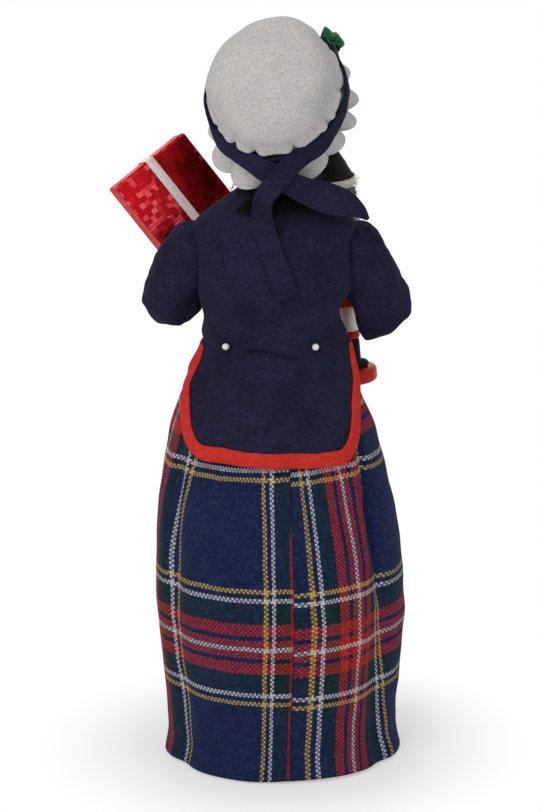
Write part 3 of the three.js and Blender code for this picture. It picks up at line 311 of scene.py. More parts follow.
def tube(name, path, radii, material, sides):
    # a round body along a path, closed at both ends
    ways = unit(np.gradient(path, axis=0))
    side = unit(np.cross(ways[0], (0.3, 0.2, 0.93)))
    angle = ringOf(sides)[:, None]
    rings = []
    for centre, way, radius in zip(path, ways, radii):
        side = unit(side - way * (side @ way))
        up = np.cross(way, side)
        rings.append(centre + radius * (np.cos(angle) * side + np.sin(angle) * up))
    points = np.vstack([*rings, path[:1], path[-1:]])
    faces = gridFaces(len(path), sides, True)
    last = (len(path) - 1) * sides
    for c in range(sides):
        d = (c + 1) % sides
        faces.append((len(points) - 2, d, c))
        faces.append((len(points) - 1, last + c, last + d))
    return weld(makePiece(name, points, faces, material))


def lathe(name, stations, material, place, segments):
    # a turned body on the Z axis from (radius, height) stations, poles closed
    stations = np.array(stations, float)
    angle = ringOf(segments)
    points = np.stack([
        stations[:, :1] * np.cos(angle), stations[:, :1] * np.sin(angle),
        np.repeat(stations[:, 1:], segments, axis=1)], axis=-1).reshape(-1, 3)
    faces = gridFaces(len(stations), segments, True)
    return weld(makePiece(name, place(points), faces, material))


def strip(name, sections, material, loop=False):
    # a body whose closed section travels along a path
    sections = np.array(sections, float)
    rows, columns = sections.shape[:2]
    faces = gridFaces(rows, columns, True)
    last = (rows - 1) * columns
    if loop:
        for c in range(columns):
            d = (c + 1) % columns
            faces.append((last + c, last + d, d, c))
    else:
        faces.append(tuple(range(columns))[::-1])
        faces.append(tuple(range(last, last + columns)))
    return weld(makePiece(name, sections, faces, material))


# Shader nodes

def colour(*levels):
    # 0 to 255 as seen on a screen, to the linear values that shaders use
    linear = [((c / 255 + 0.055) / 1.055) ** 2.4 if c > 10 else c / 3295 for c in levels]
    return (*linear, 1.0)


def feed(tree, socket, value):
    if isinstance(value, bpy.types.NodeSocket):
        tree.links.new(value, socket)
    elif value is not None:
        socket.default_value = value


def addNode(tree, kind, inputs=None, **settings):
    node = tree.nodes.new(kind)
    for key, value in settings.items():
        setattr(node, key, value)
    for key, value in (inputs or {}).items():
        feed(tree, node.inputs[key], value)
    return node


def maths(tree, operation, *values):
    node = addNode(tree, "ShaderNodeMath", operation=operation)
    for socket, value in zip(node.inputs, values):
        feed(tree, socket, value)
    return node.outputs[0]


def vectorMaths(tree, operation, *values, scale=None):
    node = addNode(tree, "ShaderNodeVectorMath", operation=operation)
    for socket, value in zip(node.inputs, values):
        feed(tree, socket, value)
    if scale is not None:
        feed(tree, node.inputs["Scale"], scale)
    return node.outputs["Value" if operation in ("LENGTH", "DOT_PRODUCT") else "Vector"]


def mix(tree, share, first, second):
    node = addNode(tree, "ShaderNodeMix", {0: share}, data_type="RGBA")
    feed(tree, node.inputs[6], first)
    feed(tree, node.inputs[7], second)
    return node.outputs[2]


def between(tree, value, low, high, toLow=0.0, toHigh=1.0, curve="LINEAR"):
    node = addNode(
        tree, "ShaderNodeMapRange",
        {"Value": value, "From Min": low, "From Max": high, "To Min": toLow, "To Max": toHigh},
        interpolation_type=curve)
    return node.outputs[0]


def noise(tree, where, scale, detail=2.0, rough=0.5, distortion=0.0):
    node = addNode(tree, "ShaderNodeTexNoise", {
        "Vector": where, "Scale": scale, "Detail": detail, "Roughness": rough,
        "Distortion": distortion})
    return node.outputs["Fac"]


def stretched(tree, where, scale, turn=(0, 0, 0)):
    node = addNode(tree, "ShaderNodeMapping", {
        "Vector": where, "Scale": scale, "Rotation": [math.radians(a) for a in turn]})
    return node.outputs[0]


def flatMap(tree):
    # the piece's own flat pattern, in mm
    return addNode(tree, "ShaderNodeUVMap", uv_map="flat").outputs[0]


def newGroup(name, inputs, outputs, kind="ShaderNodeTree"):
    group = bpy.data.node_groups.new(name, kind)
    for way, sockets in (("INPUT", inputs), ("OUTPUT", outputs)):
        for label, socket in sockets.items():
            group.interface.new_socket(label, in_out=way, socket_type="NodeSocket" + socket)
    start = group.nodes.new("NodeGroupInput")
    end = group.nodes.new("NodeGroupOutput")
    return group, start.outputs, end.inputs


def newMaterial(name, **sockets):
    material = bpy.data.materials.new(name)
    material.use_nodes = True
    tree = material.node_tree
    shader = next(node for node in tree.nodes if node.type == "BSDF_PRINCIPLED")
    for key, value in sockets.items():
        shader.inputs[key].default_value = value
    where = addNode(tree, "ShaderNodeTexCoord").outputs["Object"]
    return material, tree, shader, where


def dress(tree, shader, tone, rough=None, relief=None):
    # links the colour, the roughness and a relief of (height, strength, depth in mm)
    feed(tree, shader.inputs["Base Color"], tone)
    feed(tree, shader.inputs["Roughness"], rough)
    if relief:
        height, strength, depth = relief
        node = addNode(tree, "ShaderNodeBump", {
            "Height": height, "Strength": strength, "Distance": depth * mm})
        feed(tree, shader.inputs["Normal"], node.outputs[0])


def groupMaterial(name, group, relief, *shades, matt=0.0):
    # each value of the shades goes to the group's input or the shader's socket of that name
    material, tree, shader, where = newMaterial(name)
    node = addNode(tree, "ShaderNodeGroup", {"Where": where}, node_tree=group)
    for key, value in (item for shade in shades for item in shade.items()):
        value = colour(*value) if isinstance(value, tuple) else value
        (node if key in node.inputs else shader).inputs[key].default_value = value
    made = node.outputs
    rough = maths(tree, "ADD", made["Roughness"], matt) if "Roughness" in made else None
    dress(tree, shader, made["Colour"], rough, (made["Height"], *relief))
    return material


# Felt: matted fibres, soft mottling and a few stray lint hairs

def makeFeltGroup():
    group, given, put = newGroup(
        "feltFibres",
        {"Where": "Vector", "Base": "Color", "Dark": "Color", "Lint": "Color",
         "Mottle": "Float", "LintShare": "Float", "Grain": "Float"},
        {"Colour": "Color", "Height": "Float"})
    where = given["Where"]
    patch = noise(group, where, 75, 4, 0.6)
    lays = (((1, 0.22, 0.5), (20, 35, 50)), ((0.25, 1, 0.6), (-40, 15, -30)))
    fibre = maths(group, "MAXIMUM", *[
        noise(group, stretched(group, where, scale, turn), given["Grain"], 3, 0.65, 0.6)
        for scale, turn in lays])
    mottle = maths(group, "MULTIPLY", between(group, patch, 0.35, 0.7), given["Mottle"])
    tone = mix(group, mottle, given["Base"], given["Dark"])
    tone = mix(group, between(group, fibre, 0.42, 0.72, 0.8, 0.0), tone, given["Dark"])
    thread = maths(group, "SUBTRACT", noise(group, where, 190, 1, 0.4, 1.2), 0.5)
    line = between(group, maths(group, "ABSOLUTE", thread), 0.0, 0.006, 1.0, 0.0)
    spot = between(group, noise(group, where, 260, 1), 0.6, 0.66)
    lint = maths(group, "MULTIPLY", maths(group, "MULTIPLY", line, spot), given["LintShare"])
    feed(group, put["Colour"], mix(group, lint, tone, given["Lint"]))
    rough = maths(group, "MULTIPLY", noise(group, where, 420, 3, 0.6), 0.8)
    feed(group, put["Height"], maths(group, "ADD", fibre, rough))
    return group


feltGroup = makeFeltGroup()
feltFinish = {"Roughness": 0.95, "Specular IOR Level": 0.08, "Sheen Weight": 0.02,
              "Sheen Roughness": 0.5}
navyFelt = groupMaterial("navyFelt", feltGroup, (0.5, 0.35), feltFinish, {
    "Base": (52, 50, 80), "Dark": (13, 13, 27), "Lint": (120, 120, 145),
    "Mottle": 0.55, "LintShare": 0.25, "Grain": 1700})
redFelt = groupMaterial("redFelt", feltGroup, (0.5, 0.35), feltFinish, {
    "Base": (232, 64, 54), "Dark": (182, 40, 36), "Lint": (225, 120, 110),
    "Mottle": 0.5, "LintShare": 0.3, "Grain": 1500})
greyFelt = groupMaterial("greyFelt", feltGroup, (0.4, 0.35), feltFinish, {
    "Base": (233, 228, 222), "Dark": (163, 162, 166), "Lint": (96, 98, 112),
    "Mottle": 0.22, "LintShare": 0.5, "Grain": 2400})


# Brushed paint: slight pooling, brush marks and dust in the gloss

def makePaintGroup():
    group, given, put = newGroup(
        "brushedPaint", {"Where": "Vector", "Base": "Color", "Thin": "Color"},
        {"Colour": "Color", "Roughness": "Float", "Height": "Float"})
    where = given["Where"]
    pool = noise(group, where, 140, 3, 0.55)
    marks = noise(group, stretched(group, where, (1, 1, 0.12)), 1400, 2, 0.5)
    thin = between(group, pool, 0.4, 0.75, 0, 0.65)
    feed(group, put["Colour"], mix(group, thin, given["Base"], given["Thin"]))
    feed(group, put["Roughness"], between(group, pool, 0.3, 0.7, 0.2, 0.38))
    feed(group, put["Height"], maths(group, "ADD", marks, maths(group, "MULTIPLY", pool, 1.5)))
    return group


paintGroup = makePaintGroup()
paintFinish = {"Coat Weight": 0.3, "Coat Roughness": 0.15, "Specular IOR Level": 0.35}


def paintMaterial(name, base, thin, matt=0.0, **finish):
    return groupMaterial(name, paintGroup, (0.12, 0.12), paintFinish, finish,
                         {"Base": base, "Thin": thin}, matt=matt)


toyRed = paintMaterial("toyRedPaint", (196, 36, 17), (162, 24, 12), 0.12, **{
    "Coat Weight": 0.04, "Specular IOR Level": 0.14})
toyBlack = paintMaterial("toyBlackPaint", (10, 9, 11), (16, 14, 15), 0.3, **{
    "Coat Weight": 0.01, "Specular IOR Level": 0.1})
toyWhite = paintMaterial("toyWhitePaint", (228, 224, 214), (206, 199, 184))
toySkin = paintMaterial("toySkinPaint", (222, 168, 132), (206, 146, 112))
toyGold = paintMaterial("toyGoldPaint", (205, 158, 62), (176, 128, 44))


# Fibre streaks: hair, fur and satin share them

def makeStreakGroup():
    group, given, put = newGroup(
        "fibreStreaks",
        {"Where": "Vector", "Base": "Color", "Tip": "Color", "Scale": "Float"},
        {"Colour": "Color", "Height": "Float"})
    streak = noise(group, given["Where"], given["Scale"], 3, 0.6)
    wider = maths(group, "MULTIPLY", given["Scale"], 0.14)
    broad = noise(group, given["Where"], wider, 2, 0.5)
    share = between(group, maths(group, "ADD", streak, broad), 0.75, 1.3)
    feed(group, put["Colour"], mix(group, share, given["Base"], given["Tip"]))
    feed(group, put["Height"], streak)
    return group


streakGroup = makeStreakGroup()
furFinish = {"Roughness": 0.75, "Specular IOR Level": 0.3, "Sheen Weight": 0.15,
             "Sheen Roughness": 0.4, "Scale": 900}
hairFibre = groupMaterial("hairFibre", streakGroup, (0.4, 0.2), furFinish, {
    "Base": (9, 7, 7), "Tip": (30, 25, 22), "Specular IOR Level": 0.16, "Sheen Weight": 0.03})
greyFur = groupMaterial("greyFur", streakGroup, (0.4, 0.2), furFinish, {
    "Base": (58, 58, 52), "Tip": (112, 111, 102)})
whiteFur = groupMaterial("whiteFur", streakGroup, (0.4, 0.2), furFinish, {
    "Base": (206, 200, 186), "Tip": (240, 236, 226)})
print("materials ready")


# Floor, light and camera

stageSettings = {
    "floor": 3.0, "floorTone": 0.95, "lift": 0.45, "shadeReach": (0.05, 0.115),
    "worldLight": 0.35, "lampAim": (0, 0, 0.16),
    # name, place, size and power
    "lamps": (("key", (0.55, 0.95, 0.95), 0.9, 6.5), ("fill", (-0.95, 0.65, 0.55), 0.9, 1.4),
              ("top", (0.0, 0.05, 1.3), 1.1, 2.3), ("front", (0.2, -1.1, 0.7), 1.2, 2.9)),
}
cameraSettings = {
    "elevation": 16.0, "distance": 1500.0, "aim": 165.0, "focal": 3445.0, "slideRight": -3.05,
    "slideUp": -7.1, "roll": -0.93, "frameHeight": 812, "sensor": 24,
}


def seenMask(tree):
    # 1 for what is seen, straight, in a reflection or through glass
    path = tree.nodes.new("ShaderNodeLightPath")
    straight, mirrored, passed = [
        path.outputs[f"Is {ray} Ray"] for ray in ("Camera", "Glossy", "Transmission")]
    return maths(tree, "MAXIMUM", straight, maths(tree, "MAXIMUM", mirrored, passed))


def makeFloor():
    half, bright = stageSettings["floor"], stageSettings["floorTone"]
    floorPaint, tree, shader, where = newMaterial("paleFloor", Roughness=0.9)
    tones = [(*[level] * 3, 1) for level in (bright, bright * 0.99)]
    dress(tree, shader, mix(tree, between(tree, noise(tree, where, 6, 2), 0.3, 0.7), *tones))
    # the floor turns white away from the figure, and keeps its shadow near it
    away = between(tree, vectorMaths(tree, "LENGTH", where), *stageSettings["shadeReach"],
                   stageSettings["lift"], curve="SMOOTHSTEP")
    white = addNode(tree, "ShaderNodeEmission", {"Color": (1, 1, 1, 1), "Strength": 1.0})
    cover = addNode(tree, "ShaderNodeMixShader", {
        0: maths(tree, "MULTIPLY", seenMask(tree), away), 1: shader.outputs[0],
        2: white.outputs[0]})
    out = next(node for node in tree.nodes if node.type == "OUTPUT_MATERIAL")
    tree.links.new(cover.outputs[0], out.inputs[0])
    mesh = bpy.data.meshes.new("floor")
    corners = [(-half, -half, 0), (half, -half, 0), (half, half, 0), (-half, half, 0)]
    mesh.from_pydata(corners, [], [(0, 1, 2, 3)])
    mesh.materials.append(floorPaint)
    addObject("floor", mesh)


def makeLight():
    world = bpy.data.worlds.new("studio")
    scene.world = world
    world.use_nodes = True
    tree = world.node_tree
    tree.nodes.clear()
    strength = between(tree, seenMask(tree), 0, 1, stageSettings["worldLight"], 1)
    sky = addNode(tree, "ShaderNodeBackground", {"Color": (1, 1, 1, 1), "Strength": strength})
    out = tree.nodes.new("ShaderNodeOutputWorld")
    tree.links.new(sky.outputs[0], out.inputs[0])
    for name, place, size, power in stageSettings["lamps"]:
        light = bpy.data.lights.new(name, "AREA")
        light.shape = "DISK"
        light.size = size
        light.energy = power
        lamp = addObject(name, light)
        lamp.location = place
        way = Vector(stageSettings["lampAim"]) - Vector(place)
        lamp.rotation_euler = way.to_track_quat("-Z", "Y").to_euler()


def makeCamera():
    c = cameraSettings
    e = math.radians(c["elevation"])
    right, up = Vector((-1, 0, 0)), Vector((0, -math.sin(e), math.cos(e)))
    back = Vector((0, math.cos(e), math.sin(e)))
    lens = bpy.data.cameras.new("photoCamera")
    lens.sensor_fit = "VERTICAL"
    lens.sensor_height = c["sensor"]
    lens.lens = c["focal"] / c["frameHeight"] * c["sensor"]
    lens.clip_start, lens.clip_end = 0.05, 20
    place = Vector((0, 0, c["aim"])) + back * c["distance"]
    place += right * c["slideRight"] + up * c["slideUp"]
    roll = Matrix.Rotation(math.radians(c["roll"]), 3, "Z")
    basis = Matrix((right, up, back)).transposed() @ roll
    camera = addObject("photoCamera", lens)
    camera.matrix_world = Matrix.Translation(place * mm) @ basis.to_4x4()
    scene.camera = camera


makeFloor()
makeLight()
makeCamera()
scene.view_settings.view_transform = "Standard"
print("stage ready")


# Skirt: one width of tartan wool, gathered at the waist and sewn up the back

skirtCloth = {
    "wall": 1.1, "columns": 400, "rows": 120, "hem": 0.8, "waist": 188,
    "halfWidth": [(0.8, 53.0), (13, 50.8), (70, 54.7), (146, 45.2), (188, 27.6)],
    "flatter": [(0.8, 4.5), (146, 4.5), (188, 7.5)],
    "sway": [(70, 0), (160, 2.8), (188, 0)],  # the hips lean to the doll's left
    # angles round from the middle of the back
    "folds": (54, 116, 146, 180, 222, 262, 300), "foldDepth": 2.4, "foldSpread": 8,
    "foldTop": 150, "foldFull": 95,
    "deepFolds": ((55, 2.9, 2.8), (300, 0.8, 3.4)), "deepRise": (70, 104),
    "pleatRoll": 1.1, "rollStep": 9, "rollSpread": 5,
    "hipBulge": 1.9, "hipAngle": 84, "hipSpread": 22, "hipHeight": 124, "hipRise": 30,
    "gather": 0.9, "gathers": 34, "gatherRise": (156, 186),
    "seamHollow": 0.75, "seamSpread": 0.8, "pucker": 0.12, "puckerSpread": 4, "puckerPace": 1.5,
    "crumple": ((0.55, 52, 3), (0.22, 20, 4)), "hemWaves": 3, "hemLift": 0.7,
    "clothRound": 321.7, "flatLength": 0.2, "fieldHeight": 111.8, "warpStart": 17.4,
    "seamStep": 1.8, "stepReach": 45, "seamTuck": 4.2, "tuckRise": (126, 104),
    # cloth from the seam in mm, and degrees round at the hem, half way and the hip
    "guideHeights": (5, 92, 150),
    "guides": (
        (0, 3.2, 6.9, 10), (7.2, 12.7, 16.7, 14.5), (11.2, 17.7, 20.7, 18.6),
        (21.1, 25.8, 29, 26.5), (33.1, 36.5, 40.1, 36.5), (45, 46, 48.5, 52.5),
        (58.6, 68, 52.5, 56), (255.8, 300.7, 296.5, 309.6), (259.8, 304.6, 302.2, 316.1),
        (309.2, 350.5, 355.1, 356.2), (313.4, 354.1, 358.5, 360.9), (321.7, 363.2, 366.9, 370)),
}
skirtHalf = profile(skirtCloth["halfWidth"])
skirtFlatter = profile(skirtCloth["flatter"])
hipSway = profile(skirtCloth["sway"])

tartanSett = {
    "pitch": 1.0371, "repeat": 97, "sway": 1.1,
    "navy": (26, 40, 82), "yellow": (222, 186, 92), "white": (228, 228, 232),
    "green": (19, 48, 42), "red": (208, 48, 22),
    # gap is painted shade between the threads; shade, bloom and haze darken and lighten threads
    # and patches at random
    "gap": (12, 16, 30), "shade": (16, 20, 36), "bloom": (86, 98, 140), "haze": (62, 74, 104),
    # first thread of each stripe, counted out from the middle of the navy field
    "stripes": ((0, "navy"), (23, "yellow"), (25, "navy"), (27, "white"), (29, "navy"),
                (30, "green"), (38, "red"), (43, "navy"), (45, "red"), (48, "white")),
}


def threadTone(tree, index):
    # the colour of a thread by its number
    half = (tartanSett["repeat"] - 1) / 2
    folded = maths(tree, "FLOORED_MODULO", maths(tree, "ADD", index, half), tartanSett["repeat"])
    out = maths(tree, "ABSOLUTE", maths(tree, "SUBTRACT", folded, half))
    share = maths(tree, "DIVIDE", maths(tree, "ADD", out, 0.5), half + 1)
    ramp = addNode(tree, "ShaderNodeValToRGB", {"Fac": share})
    ramp.color_ramp.interpolation = "CONSTANT"
    stops = ramp.color_ramp.elements
    while len(stops) < len(tartanSett["stripes"]):
        stops.new(0.5)
    for stop, (first, tone) in zip(stops, tartanSett["stripes"]):
        stop.position = first / (half + 1)
        stop.color = colour(*tartanSett[tone])
    return ramp.outputs[0]


def tartanMaterial():
    material, tree, shader, where = newMaterial("tartanWool", **{
        "Roughness": 0.92, "Specular IOR Level": 0.08,
        "Sheen Weight": 0.03, "Sheen Roughness": 0.5})
    gap, shade, bloom, hazy = [
        colour(*tartanSett[tone]) for tone in ("gap", "shade", "bloom", "haze")]
    flat = flatMap(tree)
    sway = addNode(tree, "ShaderNodeTexNoise", {"Vector": flat, "Scale": 0.09, "Detail": 2.0})
    sway = vectorMaths(tree, "SCALE", sway.outputs["Color"], scale=tartanSett["sway"])
    split = addNode(tree, "ShaderNodeSeparateXYZ", {0: vectorMaths(tree, "ADD", flat, sway)})
    threads = []
    for axis in ("X", "Y"):
        place = maths(tree, "DIVIDE", split.outputs[axis], tartanSett["pitch"])
        index = maths(tree, "ROUND", place)
        threads.append((index, maths(tree, "SUBTRACT", place, index), threadTone(tree, index)))
    numbers, parts, tones = zip(*threads)
    # plain weave: each thread goes over one and under one
    step = maths(tree, "FLOORED_MODULO", maths(tree, "ADD", *numbers), 2)
    over = maths(tree, "GREATER_THAN", step, 0.5)
    tone = mix(tree, between(tree, over, 0, 1, 0.14, 0.86), *tones)
    crowns = [maths(tree, "COSINE", maths(tree, "MULTIPLY", part, 2.9)) for part in parts]
    crown = maths(tree, "MAXIMUM", maths(tree, "MULTIPLY", *crowns), 0.0)
    crown = maths(tree, "SQRT", crown)
    # painted shade: darker toward each thread's edges, between the crowns of the weave
    tone = mix(tree, between(tree, crown, 0.1, 0.92), mix(tree, 0.7, tone, gap), tone)
    spot = addNode(tree, "ShaderNodeCombineXYZ", dict(enumerate(numbers)))
    uneven = addNode(tree, "ShaderNodeTexWhiteNoise", {"Vector": spot.outputs[0]},
                     noise_dimensions="2D").outputs["Value"]
    worn = mix(tree, 0.6, tone, shade)
    tone = mix(tree, between(tree, uneven, 0, 0.6, 0.6, 0), tone, worn)
    tone = mix(tree, between(tree, uneven, 0.6, 1, 0, 0.12), tone, bloom)
    haze = noise(tree, where, 55, 4, 0.6)
    tone = mix(tree, between(tree, haze, 0.4, 0.75, 0, 0.08), tone, hazy)
    fuzz = maths(tree, "MULTIPLY", noise(tree, where, 2600, 2, 0.6), 0.35)
    dress(tree, shader, tone, relief=(maths(tree, "ADD", crown, fuzz), 0.55, 0.3))
    return material


def skirtInset(phi, z, seamAngle):
    # how far the folds, the seam and the gathers go in, in mm
    s = skirtCloth

    def away(angle):
        return wrapped(phi - angle)
    inset = np.zeros_like(phi)
    grown = smooth(0, s["foldTop"] - s["foldFull"], s["foldTop"] - z)
    for fold in s["folds"]:
        inset += s["foldDepth"] * grown * bump(away(fold), s["foldSpread"])
    high = smooth(*s["deepRise"], z)
    for angle, depth, spread in s["deepFolds"]:
        inset += high * depth * bump(away(angle), spread)
        inset -= high * s["pleatRoll"] * bump(away(angle - s["rollStep"]), s["rollSpread"])
    hip = bump(away(s["hipAngle"]), s["hipSpread"]) * bump(z - s["hipHeight"], s["hipRise"])
    inset -= s["hipBulge"] * hip
    seam = away(seamAngle)
    inset += s["seamHollow"] * bump(seam, s["seamSpread"])
    inset += s["pucker"] * bump(seam, s["puckerSpread"]) * np.sin(z * s["puckerPace"])
    gathers = np.radians(s["gathers"] * phi) + 1.5 * np.sin(np.radians(5 * phi))
    return inset + s["gather"] * smooth(*s["gatherRise"], z) * np.cos(gathers)


def makeSkirt():
    s = skirtCloth
    rows, columns, whole = s["rows"], s["columns"], s["clothRound"]
    heights = s["hem"] + (s["waist"] - s["hem"]) * np.linspace(0, 1, rows)
    z = heights[:, None]
    guides = np.array(s["guides"], float)
    bends = [profile(list(zip(s["guideHeights"], guide[1:]))) for guide in guides]
    lines = np.stack([bend(heights) for bend in bends], axis=1)
    share = np.linspace(0, 1, columns)
    phi = lines[:, :1] + (lines[:, -1:] - lines[:, :1]) * share
    cloth = np.stack([np.interp(phi[r], lines[r], guides[:, 0]) for r in range(rows)])
    cloth = cloth + s["seamTuck"] * smooth(*s["tuckRise"], z) * smooth(whole - 3, whole, cloth)
    half = skirtHalf(z) + 0 * phi
    inset = skirtInset(phi, z, lines[:, :1])
    turn = np.radians(phi)
    points = np.stack([-(half - inset) * np.sin(turn),
                       (half - skirtFlatter(z) - inset) * np.cos(turn), z + 0 * phi], axis=-1)
    push = crumple(points, s["crumple"])
    push *= smooth(0, 3, np.minimum(share, 1 - share) * columns)
    points[..., 0] += -push * np.sin(turn)
    points[..., 1] += push * np.cos(turn)
    hem = 0.5 + 0.5 * np.sin(np.radians(s["hemWaves"] * phi))
    points[..., 2] += hem * s["hemLift"] * (1 - smooth(1, 30, z))
    points[..., 0] += hipSway(z)
    points[:, -1] = points[:, 0]
    run = lengthAlong(np.column_stack([heights, skirtHalf(heights)]))
    down = np.interp(s["fieldHeight"], heights, run) - run[:, None]
    slip = np.exp(-cloth / s["stepReach"]) - 0.3 * np.exp((cloth - whole) / s["stepReach"])
    uv = np.stack([cloth + s["warpStart"], down + 0 * phi - s["seamStep"] * slip], axis=-1)
    piece = makePiece("tartanSkirt", points, gridFaces(rows, columns), tartanMaterial(), uv)
    thicken(piece, s["wall"])
    settle(piece, "torso", "tartan_wool", "skirt")


makeSkirt()
print("skirt ready")


# Jacket: a back panel with a long tail and two front panels with short flaps, edged in red felt

jacketCloth = {
    "wall": 1.2, "rows": 190, "top": 256, "waist": 188, "lift": 3.1,
    "width": [(188, 31.2), (220, 34.5), (238, 35.5), (247, 27), (256, 13.5)],
    "depth": [(188, 25), (220, 26), (238, 21.5), (247, 18), (256, 13.5)],
    "tail": {"half": [(143, 36.4), (163, 38.6), (186, 38.8)], "bottom": 143, "corner": 11,
             "slant": -2.0, "columns": 240, "flat": (0.105, 0.12), "tape": (0.0145, 0.17)},
    "flap": {"half": [(164, 36.5), (186, 36.5)], "bottom": 164, "corner": 9,
             "slant": 0.0, "columns": 130, "flat": (0.052, 0.085), "tape": (0.0145, 0.085)},
    "vent": 5.2, "opening": 0.06, "bindingTop": 186, "bindingWidth": 6.0,
    "pins": {"waist_pin_left": (21, 190), "waist_pin_right": (-16, 190)},
    "frontPins": {"front_pin_low": (3.6, 198), "front_pin_high": (3.6, 226)}, "pearl": 1.5,
    "crumple": ((0.4, 34, 11), (0.16, 13, 12)),
    # the waist's fold, from pin to pin: its rolls go out, above its line, over a spread
    "fold": {"height": 187.0, "slope": 0.13, "waver": 0.5, "pace": 0.3, "middle": 2.4,
             "ends": (17, 9), "rolls": ((-1.7, 0, 0.95), (0.9, 2.4, 1.7), (0.5, -3.4, 2.6))},
    # where each upper arm starts, bends and ends at the cuff
    "arms": {
        "left": {"shoulder": (31, -3, 236), "elbow": (45.8, -7, 207),
                 "cuff": (29.9, -29.9, 205.9)},
        "right": {"shoulder": (-31, -3, 236), "elbow": (-45.8, -7, 199.5),
                  "cuff": (-45.9, -30.2, 206)},
    },
    "armhole": [(-2, 0), (1, 9.1), (6, 12.1), (14, 13), (24, 13)],
}
bodiceWidth = profile(jacketCloth["width"])
bodiceDepth = profile(jacketCloth["depth"])
sleeveGirth = profile(jacketCloth["armhole"])


def armSpots(side):
    return [np.array(jacketCloth["arms"][side][spot], float)
            for spot in ("shoulder", "elbow", "cuff")]


def besideSleeves(places):
    # for each sleeve, how far along the upper arm and how far off its line
    for side in jacketCloth["arms"]:
        shoulder, elbow, cuff = armSpots(side)
        along = unit(elbow - shoulder)
        reach = (places - shoulder) @ along
        yield reach, np.linalg.norm(places - shoulder - reach[..., None] * along, axis=-1)


def jacketHalves(z):
    j = jacketCloth
    z = np.asarray(z, float)
    below = z < j["waist"]
    over = skirtHalf(z) + j["lift"]
    # below the waist the felt eases from the bodice out over the skirt
    wide = np.where(below, np.logaddexp(j["width"][0][1], over), bodiceWidth(z))
    over = over - skirtFlatter(z)
    deep = np.where(below, np.logaddexp(j["depth"][0][1], over), bodiceDepth(z))
    return wide, deep


def jacketWave(phi, z):
    # creases and swells of the felt, outward in mm
    j, f = jacketCloth, jacketCloth["fold"]
    turn = np.radians(phi)
    wide, deep = jacketHalves(z)
    x, y = -wide * np.sin(turn), deep * np.cos(turn)
    places = np.stack([x + 0 * z, y + 0 * z, z + 0 * x], axis=-1)
    wave = crumple(places, j["crumple"])
    behind = smooth(-2, 6, y)
    line = f["height"] + f["slope"] * x + f["waver"] * np.sin(x * f["pace"])
    fold = behind * smooth(*f["ends"], np.abs(x - f["middle"]))
    for push, above, spread in f["rolls"]:
        wave = wave + push * fold * bump(z - line - above, spread)
    wave = wave - 0.5 * behind * bump(z - 189, 3.5) * smooth(31, 24, np.abs(x - 2))
    for px, pz in j["pins"].values():  # a dimple, with pulls raying out of it
        far = np.hypot(x - px, z - pz)
        rays = np.cos(5 * np.arctan2(z - pz, x - px) + px) * np.exp(-far / 9) * smooth(1, 4, far)
        wave = wave - behind * (0.9 * bump(far, 2.2) - 0.42 * rays)
    for px, pz in j["frontPins"].values():
        wave = wave - (1 - behind) * 0.7 * bump(np.hypot(x - px, z - pz), 2.5)
    beside = np.sin(turn) ** 4  # drawn in above the waist, more on the doll's right
    wave = wave - beside * bump(z - 200, 7.5) * (1.2 + 3.6 * smooth(0, -20, x))
    wave = wave + beside * bump(z - 192, 4.5) * 1.5 * smooth(5, 22, x)
    tail = smooth(184, 150, z)
    wave = wave + tail * (0.5 * np.sin(x * 0.23 + 0.6) + 0.3 * np.sin(x * 0.41 + 2))
    for reach, far in besideSleeves(places):  # the armhole seams
        gap = far - sleeveGirth(reach)
        wave = wave - 0.75 * bump(gap - 0.6, 1.3) * smooth(-4, 0, reach) * smooth(26, 20, reach)
    return wave


def jacketPoint(phi, z):
    wide, deep = jacketHalves(z)
    out = jacketWave(phi, z)
    turn = np.radians(phi)
    z = np.asarray(z, float) + 0 * turn
    x, y = hipSway(z) - (wide + out) * np.sin(turn), (deep + out) * np.cos(turn)
    return np.stack([x, y, z], axis=-1)


def jacketNormal(phi, z, step=0.4):
    across = jacketPoint(phi + step, z) - jacketPoint(phi - step, z)
    upward = jacketPoint(phi, z + step) - jacketPoint(phi, z - step)
    return unit(np.cross(across, upward))


def angleOf(places):
    x, y, z = np.moveaxis(places, -1, 0)
    wide, deep = jacketHalves(z)
    return np.degrees(np.arctan2((hipSway(z) - x) / wide, y / deep))


def hangingEdge(halfWidths, vent):
    # how far round a tail or flap reaches at each height, in degrees from its middle
    heights = np.arange(140, 200, 0.5)
    wide, deep = jacketHalves(heights)
    half = profile(halfWidths)(heights)
    reach = np.degrees(np.arcsin(np.clip(half / wide, 0, 0.999)))
    reach = np.minimum(reach, np.degrees(np.arccos(np.clip(vent / deep, 0, 1))))
    reach = eased(np.where(heights > 180.5, 90, reach), np.hanning(41))
    return lambda z: np.where(np.asarray(z) > 191, 90.02, np.interp(z, heights, reach))


